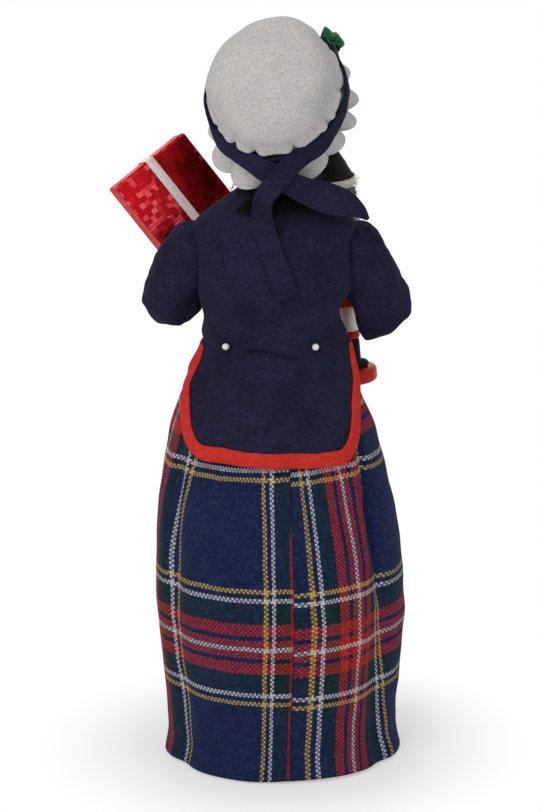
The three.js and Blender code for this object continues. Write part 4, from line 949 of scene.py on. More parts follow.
def makePanel(node, low, high, cut):
    j = jacketCloth
    rows, columns, corner = j["rows"], cut["columns"], cut["corner"]
    share = np.linspace(0, 1, columns)[None, :]
    start = cut["bottom"] + corner
    width = np.radians(high(start) - low(start)) * np.mean(jacketHalves(start))
    inward = np.clip(np.minimum(share, 1 - share) * width, 0, corner)
    rounded = np.sqrt(np.maximum(corner ** 2 - (corner - inward) ** 2, 0))
    foot = cut["bottom"] + cut["slant"] * (share - 0.5) * 2 + corner - rounded
    z = foot + (j["top"] - foot) * np.linspace(0, 1, rows)[:, None]
    phi = low(z) + (high(z) - low(z)) * share
    points = jacketPoint(phi, z)
    hidden = np.zeros(z.shape, bool)  # the armholes, inside the sleeves
    for reach, far in besideSleeves(points):
        hidden |= (reach > -1) & (far < sleeveGirth(reach) - 1.2)
    hidden = hidden.ravel()
    faces = [face for face in gridFaces(rows, columns) if not all(hidden[v] for v in face)]
    piece = makePiece(camel(node), points, faces, navyFelt)
    with editing(piece) as shape:
        loose = [v for v in shape.verts if not v.link_faces]
        bmesh.ops.delete(shape, geom=loose, context="VERTS")
    thicken(piece, j["wall"])
    settle(piece, "torso", "navy_felt", node)
    edge = [(low(h), h) for h in np.arange(j["bindingTop"], foot[0, 0], -0.5)]
    edge += list(zip(phi[0], z[0]))
    edge += [(high(h), h) for h in np.arange(foot[0, -1] + 0.5, j["bindingTop"] + 0.1, 0.5)]
    return piece, np.array([(float(a), float(h)) for a, h in edge])


def makeBinding(node, edge):
    width = jacketCloth["bindingWidth"]
    run = lengthAlong(jacketPoint(*edge.T))
    even = np.linspace(0, run[-1], 300)
    phi, z = [eased(np.interp(even, run, column), np.ones(5)) for column in edge.T]
    places = jacketPoint(phi, z)
    along = unit(np.gradient(places, axis=0))
    inward = unit(np.cross(jacketNormal(phi, z), along))
    section = [  # how far in from the edge, and how far out from the felt's face
        (width, 0.3), (width - 0.1, 0.85), (width * 0.7, 1.05), (width * 0.35, 1.1), (0.7, 1.0),
        (-0.2, 0.55), (-0.55, -0.3), (-0.5, -1.1), (0.0, -1.8), (0.8, -2.1), (width * 0.5, -2.1),
        (width - 0.3, -1.95), (width - 0.3, -1.4), (width * 0.5, -1.4), (0.6, -1.35),
        (0.25, -0.6), (0.6, 0.15), (width * 0.5, 0.2)]
    wander = 0.16 * np.sin(even * 0.21) + 0.07 * np.sin(even * 0.83 + 1)
    sections = []
    for inside, out in section:
        step = inside + (wander if inside > 2 else 0 * wander)
        spots = places + inward * step[:, None]
        angle = phi + wrapped(angleOf(spots) - phi)
        height = spots[:, 2]
        sections.append(jacketPoint(angle, height) + jacketNormal(angle, height) * out)
    piece = strip(camel(node), np.stack(sections, axis=1), redFelt)
    settle(piece, "torso", "red_felt", node)
    return piece, run[-1]


def pearlMaterial():
    material, tree, shader, where = newMaterial("pearl", **{
        "Coat Weight": 0.6, "Coat Roughness": 0.08})
    lustre = noise(tree, where, 900, 2, 0.5)
    tone = mix(tree, between(tree, lustre, 0.35, 0.65), colour(244, 240, 232),
               colour(232, 228, 226))
    dress(tree, shader, tone, between(tree, lustre, 0.3, 0.7, 0.18, 0.3))
    return material


def makePins():
    pearl = pearlMaterial()
    radius = jacketCloth["pearl"]
    arc = [math.radians(a) for a in np.linspace(-90, 90, 22)]
    ball = [(radius * math.cos(a), radius * math.sin(a)) for a in arc]
    stem = [(0, -radius - 1.2), (0.45, -radius - 1.2), (0.45, -radius * 0.95),
            (0.8, -radius * 0.84)]
    spots = [(*item, 1) for item in jacketCloth["pins"].items()]
    spots += [(*item, -1) for item in jacketCloth["frontPins"].items()]
    for node, (x, z), side in spots:
        wide, deep = bodiceWidth(z), bodiceDepth(z)
        y = side * deep * math.sqrt(1 - (x / wide) ** 2)
        out = unit((x / wide ** 2, y / deep ** 2, 0))
        centre = np.array((x, y, z)) + out * (radius - 0.1)
        turn = np.array(Vector((0, 0, 1)).rotation_difference(Vector(out)).to_matrix())
        piece = lathe(camel(node), stem + ball[8:], pearl, lambda p: p @ turn.T + centre, 32)
        settle(piece, "torso", "pearl", node)


def makeJacket():
    j = jacketCloth
    tail, flap = [hangingEdge(j[part]["half"], j["vent"]) for part in ("tail", "flap")]

    def parting(z):
        return np.degrees(np.arcsin(j["opening"] / jacketHalves(z)[0]))
    panels = (
        ("back", "tail", lambda z: -tail(z), tail),
        ("front_left", "flap", lambda z: 180 + parting(z), lambda z: 180 + flap(z)),
        ("front_right", "flap", lambda z: 180 - flap(z), lambda z: 180 - parting(z)),
    )
    for part, hanging, low, high in panels:
        cut = j[hanging]
        panel, edge = makePanel("jacket_" + part, low, high, cut)
        binding, length = makeBinding("binding_" + part, edge)
        print(panel.name, "edge", round(length, 1))
    makePins()


makeJacket()
print("jacket ready")


# Sleeves and mittens: stuffed felt, creased inside the elbow

armCloth = {
    "voxel": 0.72, "rounds": 8, "mittenVoxel": 0.55, "mittenRounds": 6,
    "crumple": ((0.42, 17, 22), (0.2, 8, 23)), "mittenCrumple": ((0.16, 7, 31),),
    "fold": 0.75, "foldPace": 1.15, "foldSpread": 9, "gather": 0.3, "gathers": 15,
    # where the cloth sags or fills out: a place, how far round it, and the push
    "sags": {
        "left": (((45.8, -7, 199), 12, (0.5, 0, -2.6)), ((28, -1, 246), 7, (0, 0, 1.6))),
        "right": (((-45.8, -7, 191.5), 12, (-2.4, 0, -0.2)), ((-57, -7, 204), 11, (-1.0, 0, 0.5)),
                  ((-33.5, -8, 206), 8, (-3.4, 0, 0)), ((-56, -7, 190), 7, (1.6, 0, 2.2)),
                  ((-38, -9, 188), 9, (2.2, 0, -4.6)), ((-28, -1, 246), 7, (0, 0, 1.2))),
    },
}


def creaseSleeve(piece, side):
    a = armCloth
    shoulder, elbow, cuff = armSpots(side)
    places, normals = placesOf(piece), normalsOf(piece)
    upper, lower = unit(shoulder - elbow), unit(cuff - elbow)
    reach = places - elbow
    inside = smooth(-2, 9, reach @ unit(upper + lower))
    split = (reach @ upper - reach @ lower) / math.sqrt(2)
    folds = np.sin(split * a["foldPace"] + 0.9 * ripple(places, 16, 21))
    push = a["fold"] * folds * bump(split, a["foldSpread"]) * inside
    push += crumple(places, a["crumple"])
    top = reach @ upper - np.linalg.norm(shoulder - elbow)
    spin = np.arctan2(reach @ np.cross(upper, (0, 1, 0)), reach[:, 1])
    push += a["gather"] * np.cos(a["gathers"] * spin) * bump(top + 3, 5)
    end = np.linalg.norm(cuff - elbow) - reach @ lower
    push *= smooth(0.4, 4, end)
    moved = places + normals * push[:, None]
    for place, spread, shift in a["sags"][side]:
        moved += bump(np.linalg.norm(places - place, axis=1), spread)[:, None] * shift
    movePoints(piece, moved)


def makeArms():
    a = armCloth
    for side in ("left", "right"):
        sleeve = nodeCopy(side + "_sleeve", side + "Sleeve", navyFelt)
        creaseSleeve(remesh(sleeve, a["voxel"], a["rounds"]), side)
        settle(sleeve, side + "_arm", "navy_felt", side + "_sleeve")
        mitten = nodeCopy(side + "_mitten", side + "Mitten", redFelt)
        remesh(mitten, a["mittenVoxel"], a["mittenRounds"])
        pushOut(mitten, lambda places: crumple(places, a["mittenCrumple"]))
        settle(mitten, side + "_arm", "red_felt", side + "_mitten")


makeArms()
print("arms ready")


# Cap: gathered crown, ruffle and a felt band tied at the nape

capShape = {
    "turn": -12, "seat": 256, "centre": (-3, 8.8, 42), "tilt": 36, "halfWidth": 29.2,
    "halfHeight": 29.5,
    # how far the crown stands off the ring across and up, and how far behind it, band to pole
    "crown": ((-1.6, -1.6, -8), (-1.6, -1.6, 0.2), (-0.9, -0.8, 0.7), (-1.6, -0.3, 5.4),
              (-2.7, -0.6, 10.8), (-5.0, -2.7, 16.2), (-9.3, -7.3, 21.1), (-17.1, -15.7, 25.2),
              (-24.0, -24.0, 27.1), (-29.2, -29.5, 27.6)),
    "crownWall": 1.0, "crownRows": 130, "crownColumns": 360, "crownRound": 31,
    "crumple": ((0.75, 34, 41), (0.3, 13, 42)), "pleats": 22, "pleatDepth": 0.55, "pleatSeed": 5,
    # where round the crown, how wide and how far out; where round it and how deep
    "swells": ((116, 24, 1.3), (64, 22, -0.9), (-166, 20, -1.7)),
    "tucks": ((-36, 1.1), (-60, 2.3), (-80, 2.5), (-114, 2.6), (-151, 2.6), (178, 1.0),
              (140, 1.2), (96, 1.1), (52, 1.2), (8, 1.1)),
    "bandWidth": 8, "bandWall": 1.3, "bandRows": 12, "bandColumns": 300,
    "ruffleRows": 22, "ruffleColumns": 620, "ruffleWall": 1.1, "ruffleReach": 9, "lobes": 15,
    # how far the ruffle flares, and how much more round each angle over a spread
    "flare": 5.0, "flares": ((4.2, -72, 50), (-3.4, 12, 42), (-3.0, 178, 50), (-1.2, -152, 14),
                             (-2.4, -30, 16), (1.7, -51, 13)),
    "wave": 1.9,
}


def headPlace(points):
    turn = turned("Z", capShape["turn"])
    return np.asarray(points, float) @ turn.T + (0, 0, capShape["seat"])


def capPlace(x, v, n):
    # across the cap's ring, up along it and out behind it
    tilt = math.radians(capShape["tilt"])
    x0, y0, z0 = capShape["centre"]
    y = y0 - v * math.sin(tilt) + n * math.cos(tilt)
    z = z0 + v * math.cos(tilt) + n * math.sin(tilt)
    return headPlace(np.stack(np.broadcast_arrays(x + x0, y, z), axis=-1))


def ringPlace(out, theta, n):
    # round the cap's ring, and out from it
    c = capShape
    return capPlace((c["halfWidth"] + out) * np.cos(theta),
                    (c["halfHeight"] + out) * np.sin(theta), n)


def crownRelief(theta, n):
    # pleats, tucks and swells of the crown, outward in mm
    c = capShape
    rng = np.random.RandomState(c["pleatSeed"])
    relief = np.zeros(np.broadcast_shapes(theta.shape, n.shape))
    behind, past = np.maximum(n, 0), np.maximum(n - 0.5, 0)

    def gapTo(way):
        return ((way + math.pi) % fullTurn - math.pi) * c["crownRound"]
    for k in range(c["pleats"]):
        angle = (k + 0.75 * rng.rand()) / c["pleats"] * 2 * math.pi
        depth = c["pleatDepth"] * (0.35 + 0.85 * rng.rand())
        reach = 4 + 9 * rng.rand() ** 2
        drift = rng.normal() * 0.012
        gap = gapTo(theta - angle - drift * n)
        relief -= depth * bump(gap, 1.1 + 0.09 * behind) * np.exp(-past / reach)
    for degrees, depth in c["tucks"]:
        gap = np.abs(gapTo(theta - math.radians(degrees)))
        relief -= depth * np.exp(-gap / (0.7 + 0.16 * behind)) * np.exp(-past / 6)
        relief += 0.3 * depth * bump(gap - 3.6, 2.4) * bump(n - 3, 4)
    puff = 0.2 * smooth(0.1, 2.5, n) * smooth(26, 12, n)
    puff = puff + 0.7 * bump(n - 2.8, 3) * smooth(0.3, 1.4, n)
    relief = relief * smooth(0.0, 0.9, n) + puff
    for degrees, spread, push in c["swells"]:
        near = bump(wrapped(np.degrees(theta) - degrees), spread)
        relief = relief + push * near * smooth(0.3, 4, n)
    return relief


def makeCrown():
    c = capShape
    stations = np.array(c["crown"], float)
    rows, columns = c["crownRows"], c["crownColumns"]
    row = (np.linspace(0, 1, rows) ** 0.9 * (len(stations) - 1))[:, None]
    wide, high, n = [profile(list(enumerate(column)))(row) for column in stations.T]
    wide, high = c["halfWidth"] + wide, c["halfHeight"] + high
    theta = ringOf(columns)[None, :]
    relief = crownRelief(theta, n)
    places = capPlace(wide * np.cos(theta), high * np.sin(theta), n)
    relief += crumple(places, c["crumple"]) * smooth(0.5, 5, n)
    relief *= smooth(0, 9, wide)
    fall = np.clip((n - 12) / 16, 0, 0.92)
    out = relief * (1 - fall)
    places = capPlace((wide + out) * np.cos(theta), (high + out) * np.sin(theta),
                      n + relief * fall)
    piece = makePiece("capCrown", places, gridFaces(rows, columns, True), greyFelt)
    thicken(weld(piece, 0.02), c["crownWall"])
    settle(piece, "head", "grey_felt", "cap_crown")


def makeBand():
    c = capShape
    rows, columns = c["bandRows"], c["bandColumns"]
    across = np.linspace(-1, 1, rows)[:, None]
    theta = ringOf(columns)[None, :]
    width = c["bandWidth"] / 2 + 0.35 * np.sin(5 * theta + 1) + 0.2 * np.sin(13 * theta)
    n = -c["bandWidth"] / 2 + width * across + 0.25 * np.sin(3 * theta)
    out = 0.35 * (1 - across ** 2) + 0.28 * np.sin(4 * theta + 3 * across)
    out += 0.15 * np.sin(17 * theta + 5 * across)
    places = ringPlace(out, theta, n)
    piece = makePiece("capBand", places, gridFaces(rows, columns, True), navyFelt)
    thicken(piece, c["bandWall"])
    settle(piece, "head", "navy_felt", "cap_band")


def makeRuffle():
    c = capShape
    rows, columns = c["ruffleRows"], c["ruffleColumns"]
    share = np.linspace(0, 1, rows)[:, None]
    theta = ringOf(columns)[None, :]
    phase = c["lobes"] * theta + 0.9 * np.sin(2 * theta + 0.4) + 0.6 * np.sin(5 * theta + 2)
    wave = 2.2 * np.abs(np.cos(phase / 2)) ** 0.85 - 1.35
    around = np.degrees(theta)

    def near(angle, spread):
        return bump(wrapped(around - angle), spread)
    flare = c["flare"] + sum(more * near(angle, spread) for more, angle, spread in c["flares"])
    size = c["wave"] * (1 + 0.3 * np.sin(4 * theta + 1.1) + 0.3 * near(178, 50))
    grow = share ** 1.15
    out = -1.4 + flare * share + size * 1.35 * grow * wave
    out += 0.5 * smooth(0, 0.2, share) * smooth(0.5, 0.2, share) * np.cos(2 * phase)
    reach = c["ruffleReach"] * share * (1 + 0.06 * np.cos(phase))
    n = -c["bandWidth"] - 0.2 - reach + size * grow * (0.75 * wave)
    lean = 0.45 * np.sin(phase + 1.2 + 0.8 * np.sin(3 * theta))
    places = ringPlace(out, theta + lean * grow * 0.05, n)
    piece = makePiece("capRuffle", places, gridFaces(rows, columns, True), greyFelt)
    thicken(weld(piece, 0.001), c["ruffleWall"], 0)
    settle(piece, "head", "grey_felt", "cap_ruffle")


# The band's two ends, crossed at the nape
tailCloth = {
    "wall": 1.2, "curl": 0.7, "rows": 90, "columns": 15, "clear": 2.1,
    "bandTailBack": {
        # at the nape: across, lift off the band, behind it, and the way the face leans
        "nape": ((-28.4, 0.5, -4, (-1.2, 0, 0.9)), (-21, 1.5, -3, (-0.6, 0.3, 0.5)),
                 (-14, 2.1, -2.4, (-0.3, 0.5, 0.3))),
        # then places, with the way the face looks
        "path": (((-7, 27.4, 270.3), (0, 0.85, -0.4)), ((-0.6, 28, 263), (0, 0.97, -0.2)),
                 ((4.4, 27, 256.4), (0, 1, 0.1)), ((5.3, 25.5, 249), (0, 1, 0.2)),
                 ((3.6, 23.9, 240), (0, 1, 0.1))),
        # then x and z on the jacket's back
        "back": ((0.6, 230, (0, 1, 0)), (-2.4, 221.5, (-0.03, 1, 0)),
                 (-5.2, 213, (-0.05, 1, 0))),
        "halves": (2.6, 4.1, 4.5, 4.7, 4.5, 4.3, 4.3, 4.4, 4.6, 4.7, 4.4),
        "start": (0, 0.025, 0.264), "end": (0, 0.025, 0.247),
        "flat": (0.01, 0.085), "held": "hung", "node": "band_tail_back",
    },
    "bandTailShoulder": {
        "nape": ((28.4, 0.3, -4, (1.2, 0, 0.9)), (21, 1.0, -3.2, (0.6, 0.3, 0.5)),
                 (14, 1.4, -2.6, (0.3, 0.5, 0.3))),
        "path": (((7.4, 25, 270), (0, 0.85, -0.4)), ((0, 26.2, 266), (-0.05, 0.95, -0.25)),
                 ((-6.5, 25.9, 262.4), (-0.1, 0.95, -0.05)),
                 ((-13, 24.8, 258.8), (-0.25, 0.9, 0.1)), ((-21, 22, 255.2), (-0.4, 0.85, 0.22)),
                 ((-30, 17.2, 251.2), (-0.5, 0.8, 0.28)), ((-36, 13, 247.0), (-0.55, 0.78, 0.25)),
                 ((-39.5, 10.4, 242.6), (-0.6, 0.76, 0.2))),
        "back": (),
        "halves": (2.6, 4.1, 4.6, 5.0, 5.0, 4.9, 5.6, 6.6, 5.8, 3.2, 0.5),
        "start": (0.0, 0.025, 0.265), "end": (-0.03, 0.017, 0.252),
        "flat": (0.0132, 0.08), "held": "draped", "node": "band_tail_shoulder",
    },
}


def clothTail(name, stations):
    # a strip of felt through stations of place, the way its face looks and half width
    wall, rows = tailCloth["wall"], tailCloth["rows"]
    table = through(stations, rows)
    middle, out, half = table[:, :3], unit(table[:, 3:6]), table[:, 6:]
    along = unit(np.gradient(middle, axis=0))
    across = unit(np.cross(along, out))
    out = unit(np.cross(across, along))
    share = np.linspace(-1, 1, tailCloth["columns"])
    run = np.linspace(0, 1, rows)[:, None]
    lift = tailCloth["curl"] * (share ** 2 - 0.4) * run + 0.22 * np.sin(9 * run + 2 * share)
    face = middle[:, None] + across[:, None] * (half * share)[..., None]
    face = face + out[:, None] * lift[..., None]
    front = face + out[:, None] * wall / 2
    behind = (face - out[:, None] * wall / 2)[:, ::-1]
    return strip(name, np.concatenate([front, behind], axis=1), navyFelt)


def makeTails():
    c = capShape
    tilt = math.radians(c["tilt"])
    napeOut = np.array((0, math.sin(tilt), -math.cos(tilt))) @ turned("Z", c["turn"]).T
    for name in ("bandTailBack", "bandTailShoulder"):
        t = tailCloth[name]
        stations = []
        for x, lift, n, lean in t["nape"]:
            v = -c["halfHeight"] * math.sqrt(1 - (x / c["halfWidth"]) ** 2)
            place = capPlace(x * (1 + lift / 30), v * (1 + lift / 33), n)
            stations.append((*place, *(napeOut + lean)))
        stations += [(*place, *out) for place, out in t["path"]]
        stations += [(x, bodiceDepth(z) + tailCloth["clear"], z, *out) for x, z, out in t["back"]]
        piece = clothTail(name, np.column_stack([stations, t["halves"]]))
        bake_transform(piece)
        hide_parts(t["node"])


makeCrown()
makeBand()
makeRuffle()
makeTails()
print("cap ready")


# Head: painted clay with a small singing mouth

headShape = {
    # height, half width, half depth and how far the middle lies back
    "rings": ((-7, 7.5, 7.5, 0), (6, 7.2, 7.2, 0), (12, 10.04, 11.9, -2.87),
              (18, 14.9, 17.4, -3.5), (27.2, 17.7, 19.9, -3.1), (37.8, 18.6, 20.5, -2.5),
              (46, 17.5, 19.5, -2.05), (53.4, 13, 15, -1.4), (57.2, 6.5, 7.5, -1.1),
              (58, 0.01, 0.01, -1)),
    "levels": ((-7, 11.5, 24), (11.7, 43, 150), (43.4, 58, 50)), "columns": 320,
    # how far out, where across and up, how wide and high:
    # sockets, lids, brows, nose, nostrils, cheeks and chin
    "forms": ((-1.15, 6.3, 33.6, 3.7, 2.8), (0.75, 6.3, 33.6, 2.0, 1.3),
              (0.55, 5.5, 38.4, 5.5, 1.8), (2.8, 0, 28.2, 2.1, 2.0), (0.7, 2.1, 27.3, 1.0, 1.1),
              (1.15, 8.8, 24.6, 4.4, 4.2), (1.0, 0, 14.2, 4.4, 2.6)),
    "blushes": ((0.62, 9.2, 24.8, 4.6, 3.9), (0.25, 0, 28, 2.2, 2.0)),
    "eye": (6.3, 33.6), "eyeSize": (2.5, 1.35), "mouth": 20, "mouthSize": (2.5, 2.2),
    "skin": (236, 194, 166), "blush": (226, 128, 110), "lip": (186, 66, 62),
    "throat": (84, 22, 26), "brow": (62, 44, 36), "eyeWhite": (240, 238, 232),
    "iris": (92, 64, 44), "pupil": (18, 14, 14), "glint": (250, 250, 250),
}


def headMaterial():
    material, tree, shader, where = newMaterial("paintedClay", **{
        "Roughness": 0.55, "Specular IOR Level": 0.35,
        "Subsurface Weight": 0.05, "Subsurface Scale": 0.002})
    paint = addNode(tree, "ShaderNodeAttribute", attribute_name="paint").outputs["Color"]
    mottle = noise(tree, where, 260, 3, 0.55)
    tone = mix(tree, between(tree, mottle, 0.35, 0.7, 0, 0.12), paint, colour(206, 140, 112))
    dress(tree, shader, tone, between(tree, mottle, 0.3, 0.7, 0.45, 0.62),
          (noise(tree, where, 1100, 3, 0.6), 0.15, 0.15))
    return material


def makeHead():
    h = headShape
    z = np.concatenate([np.linspace(*level) for level in h["levels"]])[:, None]
    turn = np.linspace(-1, 1, h["columns"], endpoint=False)
    theta = (math.pi * (0.38 * turn + 0.62 * turn ** 3))[None, :]  # closer on the face
    rings = np.array(h["rings"], float)
    wide, deep, middle = [
        profile(list(zip(rings[:, 0], rings[:, k])))(z) for k in (1, 2, 3)]
    x, y = wide * np.sin(theta), middle - deep * np.cos(theta)
    front = smooth(0.1, 0.6, np.cos(theta)) + 0 * z
    side = np.abs(x)
    lips = np.hypot(x / h["mouthSize"][0], (z - h["mouth"]) / h["mouthSize"][1])

    def dome(push, across, height, width, rise):
        return push * bump((side - across) / width, 1) * bump((z - height) / rise, 1)
    out = sum(dome(*form) for form in h["forms"])
    out += 1.5 * bump(x, 1.5) * smooth(37, 28.5, z) * smooth(24.6, 27.2, z)  # nose's bridge
    out += 0.75 * bump(lips - 1.2, 0.28) - 2.7 * smooth(1.05, 0.7, lips)
    out -= 0.35 * bump(x, 0.9) * bump(z - 24.2, 1.6)
    paint = np.empty((*x.shape, 4))
    paint[:] = colour(*h["skin"])

    def brush(mask, tone):
        nonlocal paint
        mask = (mask * front)[..., None]
        paint = paint * (1 - mask) + np.array(colour(*h[tone])) * mask
    for blush in h["blushes"]:
        brush(dome(*blush), "blush")
    brush(smooth(1.55, 1.35, lips), "lip")
    brush(smooth(1.02, 0.86, lips), "throat")
    arch = smooth(0.62, 0.3, np.abs(z - 38.9 + 0.055 * (side - 6) ** 2))
    brush(arch * smooth(2.6, 3.2, side) * smooth(10.4, 9.4, side), "brow")
    ex, ez = h["eye"]
    eye = np.hypot((side - ex) / h["eyeSize"][0], (z - ez) / h["eyeSize"][1])
    brush(smooth(1.06, 0.95, eye), "eyeWhite")
    inside = smooth(1.06, 0.98, eye)
    look = np.hypot(side - ex, z - ez - 0.1)
    brush(inside * smooth(1.3, 1.15, look), "iris")
    brush(inside * smooth(0.72, 0.58, look), "pupil")
    brush(smooth(0.42, 0.3, np.hypot(side - ex - 0.35, z - ez - 0.5)), "glint")
    brush(bump(eye - 1.06, 0.13) * smooth(ez - 0.1, ez + 0.6, z), "brow")
    points = headPlace(np.stack([x, y - out * front, z + 0 * x], axis=-1))
    faces = gridFaces(len(z), len(turn), True)
    piece = makePiece("paintedHead", points, faces, headMaterial())
    layer = piece.data.color_attributes.new("paint", "FLOAT_COLOR", "POINT")
    layer.data.foreach_set("color", paint.astype(np.float32).ravel())
    with editing(piece) as shape:  # closes the neck's end
        shape.verts.ensure_lookup_table()
        shape.faces.new([shape.verts[k] for k in range(len(turn))][::-1])
    weld(piece, 0.02)
    settle(piece, "head", "painted_clay", "head")


makeHead()


# Hair: a matted base with frizzy curls standing off it

hairShape = {
    "voxel": 0.8, "rounds": 3, "crumple": ((0.35, 5, 51), (0.3, 2.6, 52)),
    "patchHeights": (248, 256), "patchRows": 10, "patchColumns": 24,
    # strands a square metre, seed, length, curl radius, turns, thickness, droop and spread
    "hairCurls": (260000, 9, 6.2, 0.75, 2.2, 0.13, 0.7, 0.9),
    "hairFringe": (340000, 12, 2.8, 0.75, 2.2, 0.13, 0.5, 0.7),
    "hairLocks": (60000, 14, 4.6, 1.0, 2.6, 0.36, 2.4, 0.6),
    "hairNape": (3400000, 15, 3.8, 0.6, 1.6, 0.11, 0.5, 1.1),
}


def makeStrandTree():
    # small curled or straight strands scattered over a surface, leaning with gravity
    tree, given, put = newGroup("strands", {
        "Geometry": "Geometry", "Density": "Float", "Seed": "Int", "Length": "Float",
        "CurlRadius": "Float", "Turns": "Float", "Thickness": "Float", "Droop": "Float",
        "Spread": "Float", "Finish": "Material"}, {"Geometry": "Geometry"}, "GeometryNodeTree")
    scatter = addNode(tree, "GeometryNodeDistributePointsOnFaces", {
        "Mesh": given["Geometry"], "Density": given["Density"], "Seed": given["Seed"]})
    stray = addNode(tree, "FunctionNodeRandomValue", {
        "Seed": given["Seed"], 0: (-1, -1, -1), 1: (1, 1, 1)}, data_type="FLOAT_VECTOR")
    spread = vectorMaths(tree, "SCALE", stray.outputs[0], scale=given["Spread"])
    down = addNode(tree, "ShaderNodeCombineXYZ", {
        2: maths(tree, "MULTIPLY", given["Droop"], -1.0)})
    lean = vectorMaths(tree, "ADD", down.outputs[0], spread)
    way = vectorMaths(tree, "ADD", scatter.outputs["Normal"], lean)
    aim = addNode(tree, "FunctionNodeAlignRotationToVector", {"Vector": way}, axis="Z")
    curl = addNode(tree, "GeometryNodeCurveSpiral", {
        "Resolution": 9, "Rotations": given["Turns"], "Start Radius": given["CurlRadius"],
        "End Radius": maths(tree, "MULTIPLY", given["CurlRadius"], 0.6),
        "Height": given["Length"]})
    ring = addNode(tree, "GeometryNodeCurvePrimitiveCircle", {
        "Resolution": 3, "Radius": given["Thickness"]})
    strand = addNode(tree, "GeometryNodeCurveToMesh", {
        "Curve": curl.outputs[0], "Profile Curve": ring.outputs[0]})
    size = addNode(tree, "FunctionNodeRandomValue", {
        "Seed": maths(tree, "ADD", given["Seed"], 7), 2: 0.55, 3: 1.2}, data_type="FLOAT")
    place = addNode(tree, "GeometryNodeInstanceOnPoints", {
        "Points": scatter.outputs["Points"], "Instance": strand.outputs[0],
        "Rotation": aim.outputs[0], "Scale": size.outputs[1]})
    real = addNode(tree, "GeometryNodeRealizeInstances", {"Geometry": place.outputs[0]})
    finish = addNode(tree, "GeometryNodeSetMaterial", {
        "Geometry": real.outputs[0], "Material": given["Finish"]})
    tree.links.new(finish.outputs[0], put["Geometry"])
    return tree


strandTree = makeStrandTree()


def growStrands(name, surface, settings, finish, keep):
    # strands on the faces that keep(middles, normals) chooses
    density, seed, length, radius, turns, thickness, droop, spread = settings
    piece = addObject(name, surface.data.copy())
    with editing(piece) as shape:
        middles = np.array([face.calc_center_median() for face in shape.faces]) / mm
        ways = np.array([face.normal for face in shape.faces])
        drop = [face for face, stay in zip(shape.faces, keep(middles, ways)) if not stay]
        bmesh.ops.delete(shape, geom=drop, context="FACES")
    values = {"Density": float(density), "Seed": seed, "Length": length * mm,
              "CurlRadius": radius * mm, "Turns": turns, "Thickness": thickness * mm,
              "Droop": droop, "Spread": spread, "Finish": finish}
    growth = piece.modifiers.new("growth", "NODES")
    growth.node_group = strandTree
    for item in strandTree.interface.items_tree:
        if item.name in values:
            growth[item.identifier] = values[item.name]
    bake(piece)
    shadeSmooth(piece.data)
    print(name, len(piece.data.polygons), "faces")
    return piece


def makeHair():
    h = hairShape
    base = remesh(nodeCopy("hair", "hairBase", hairFibre), h["voxel"], h["rounds"])
    pushOut(base, lambda places: crumple(places, h["crumple"]))
    settle(base, "head", "mohair", "hair")

    def outward(p, n, least):
        # true where the hair looks sideways off the head, so that no strand crosses the face
        back = turned("Z", capShape["turn"])
        spot, way = (p - headPlace((0, 0, 0))) @ back, n @ back
        sideways = way[:, 0] * np.sign(spot[:, 0]) > least
        return sideways & (spot[:, 1] > -15) & (np.abs(spot[:, 0]) > 9)

    def atNape(p, n):
        return (p[:, 2] < 261) & (p[:, 1] > 2)

    def atCheeks(p, n):
        lowest = np.where(p[:, 1] < -5, 259, 272)
        return (p[:, 1] <= 2) & (p[:, 2] > lowest) & outward(p, n, 0.3)

    def atTemples(p, n):
        return (p[:, 2] > 271) & (p[:, 2] < 298) & (p[:, 1] < 2) & outward(p, n, 0.4)
    for name, keep in (("hairCurls", atNape), ("hairFringe", atCheeks), ("hairLocks", atTemples)):
        settle(growStrands(name, base, h[name], hairFibre, keep), "head", "mohair")
    # the frizz on the collar grows from a patch that isn't kept
    rows, columns = h["patchRows"], h["patchColumns"]
    across, z = np.meshgrid(np.linspace(-1, 1, columns), np.linspace(*h["patchHeights"], rows))
    x = across * bodiceWidth(z) * 0.76 - 3
    y = bodiceDepth(z) * np.sqrt(np.maximum(1 - (x / bodiceWidth(z)) ** 2, 0.02)) + 1.3
    patch = makePiece("napePatch", np.stack([x, y, z], axis=-1), gridFaces(rows, columns),
                      hairFibre)
    if normalsOf(patch)[:, 1].mean() < 0:
        patch.data.flip_normals()
    nape = growStrands("hairNape", patch, h["hairNape"], hairFibre, lambda p, n: p[:, 2] > 0)
    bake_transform(nape)
    bpy.data.objects.remove(patch)


makeHair()
print("head and hair ready")


# Holly sprig pinned on the band

hollySprig = {
    "length": 15, "width": 8, "wall": 0.7, "rows": 49, "columns": 17, "angle": 130, "curl": 0.16,
    "leaves": {"holly_leaf_low": (0.3, 3), "holly_leaf_back": (1.4, 43),
               "holly_leaf_front": (2.5, -37)},  # lift and spin of each
    "berry": 2.0, "berryLift": 5.9, "berryStep": 4.36,
    "leafTone": (6, 96, 48), "leafDark": (3, 50, 26), "vein": (44, 126, 70),
    "berryPaint": ((196, 24, 26), (150, 12, 18)),
}


def onBand(points, angle, lift, spin):
    c = capShape
    tilt, turn = math.radians(c["tilt"]), math.radians(angle)
    up = np.array((0, -math.sin(tilt), math.cos(tilt)))
    back = np.array((0, math.cos(tilt), math.sin(tilt)))
    side, rise = math.cos(turn), math.sin(turn)
    seat = np.array(c["centre"]) + (c["halfWidth"] * side, 0, 0)
    seat = seat + c["halfHeight"] * rise * up - c["bandWidth"] / 2 * back
    out = unit(np.array((side / c["halfWidth"], 0, 0)) + up * rise / c["halfHeight"])
    basis = np.stack([np.cross(back, out), back, out])
    points = np.asarray(points) @ turned("Z", spin).T + (0, 0, lift)
    return headPlace(points @ basis + seat)


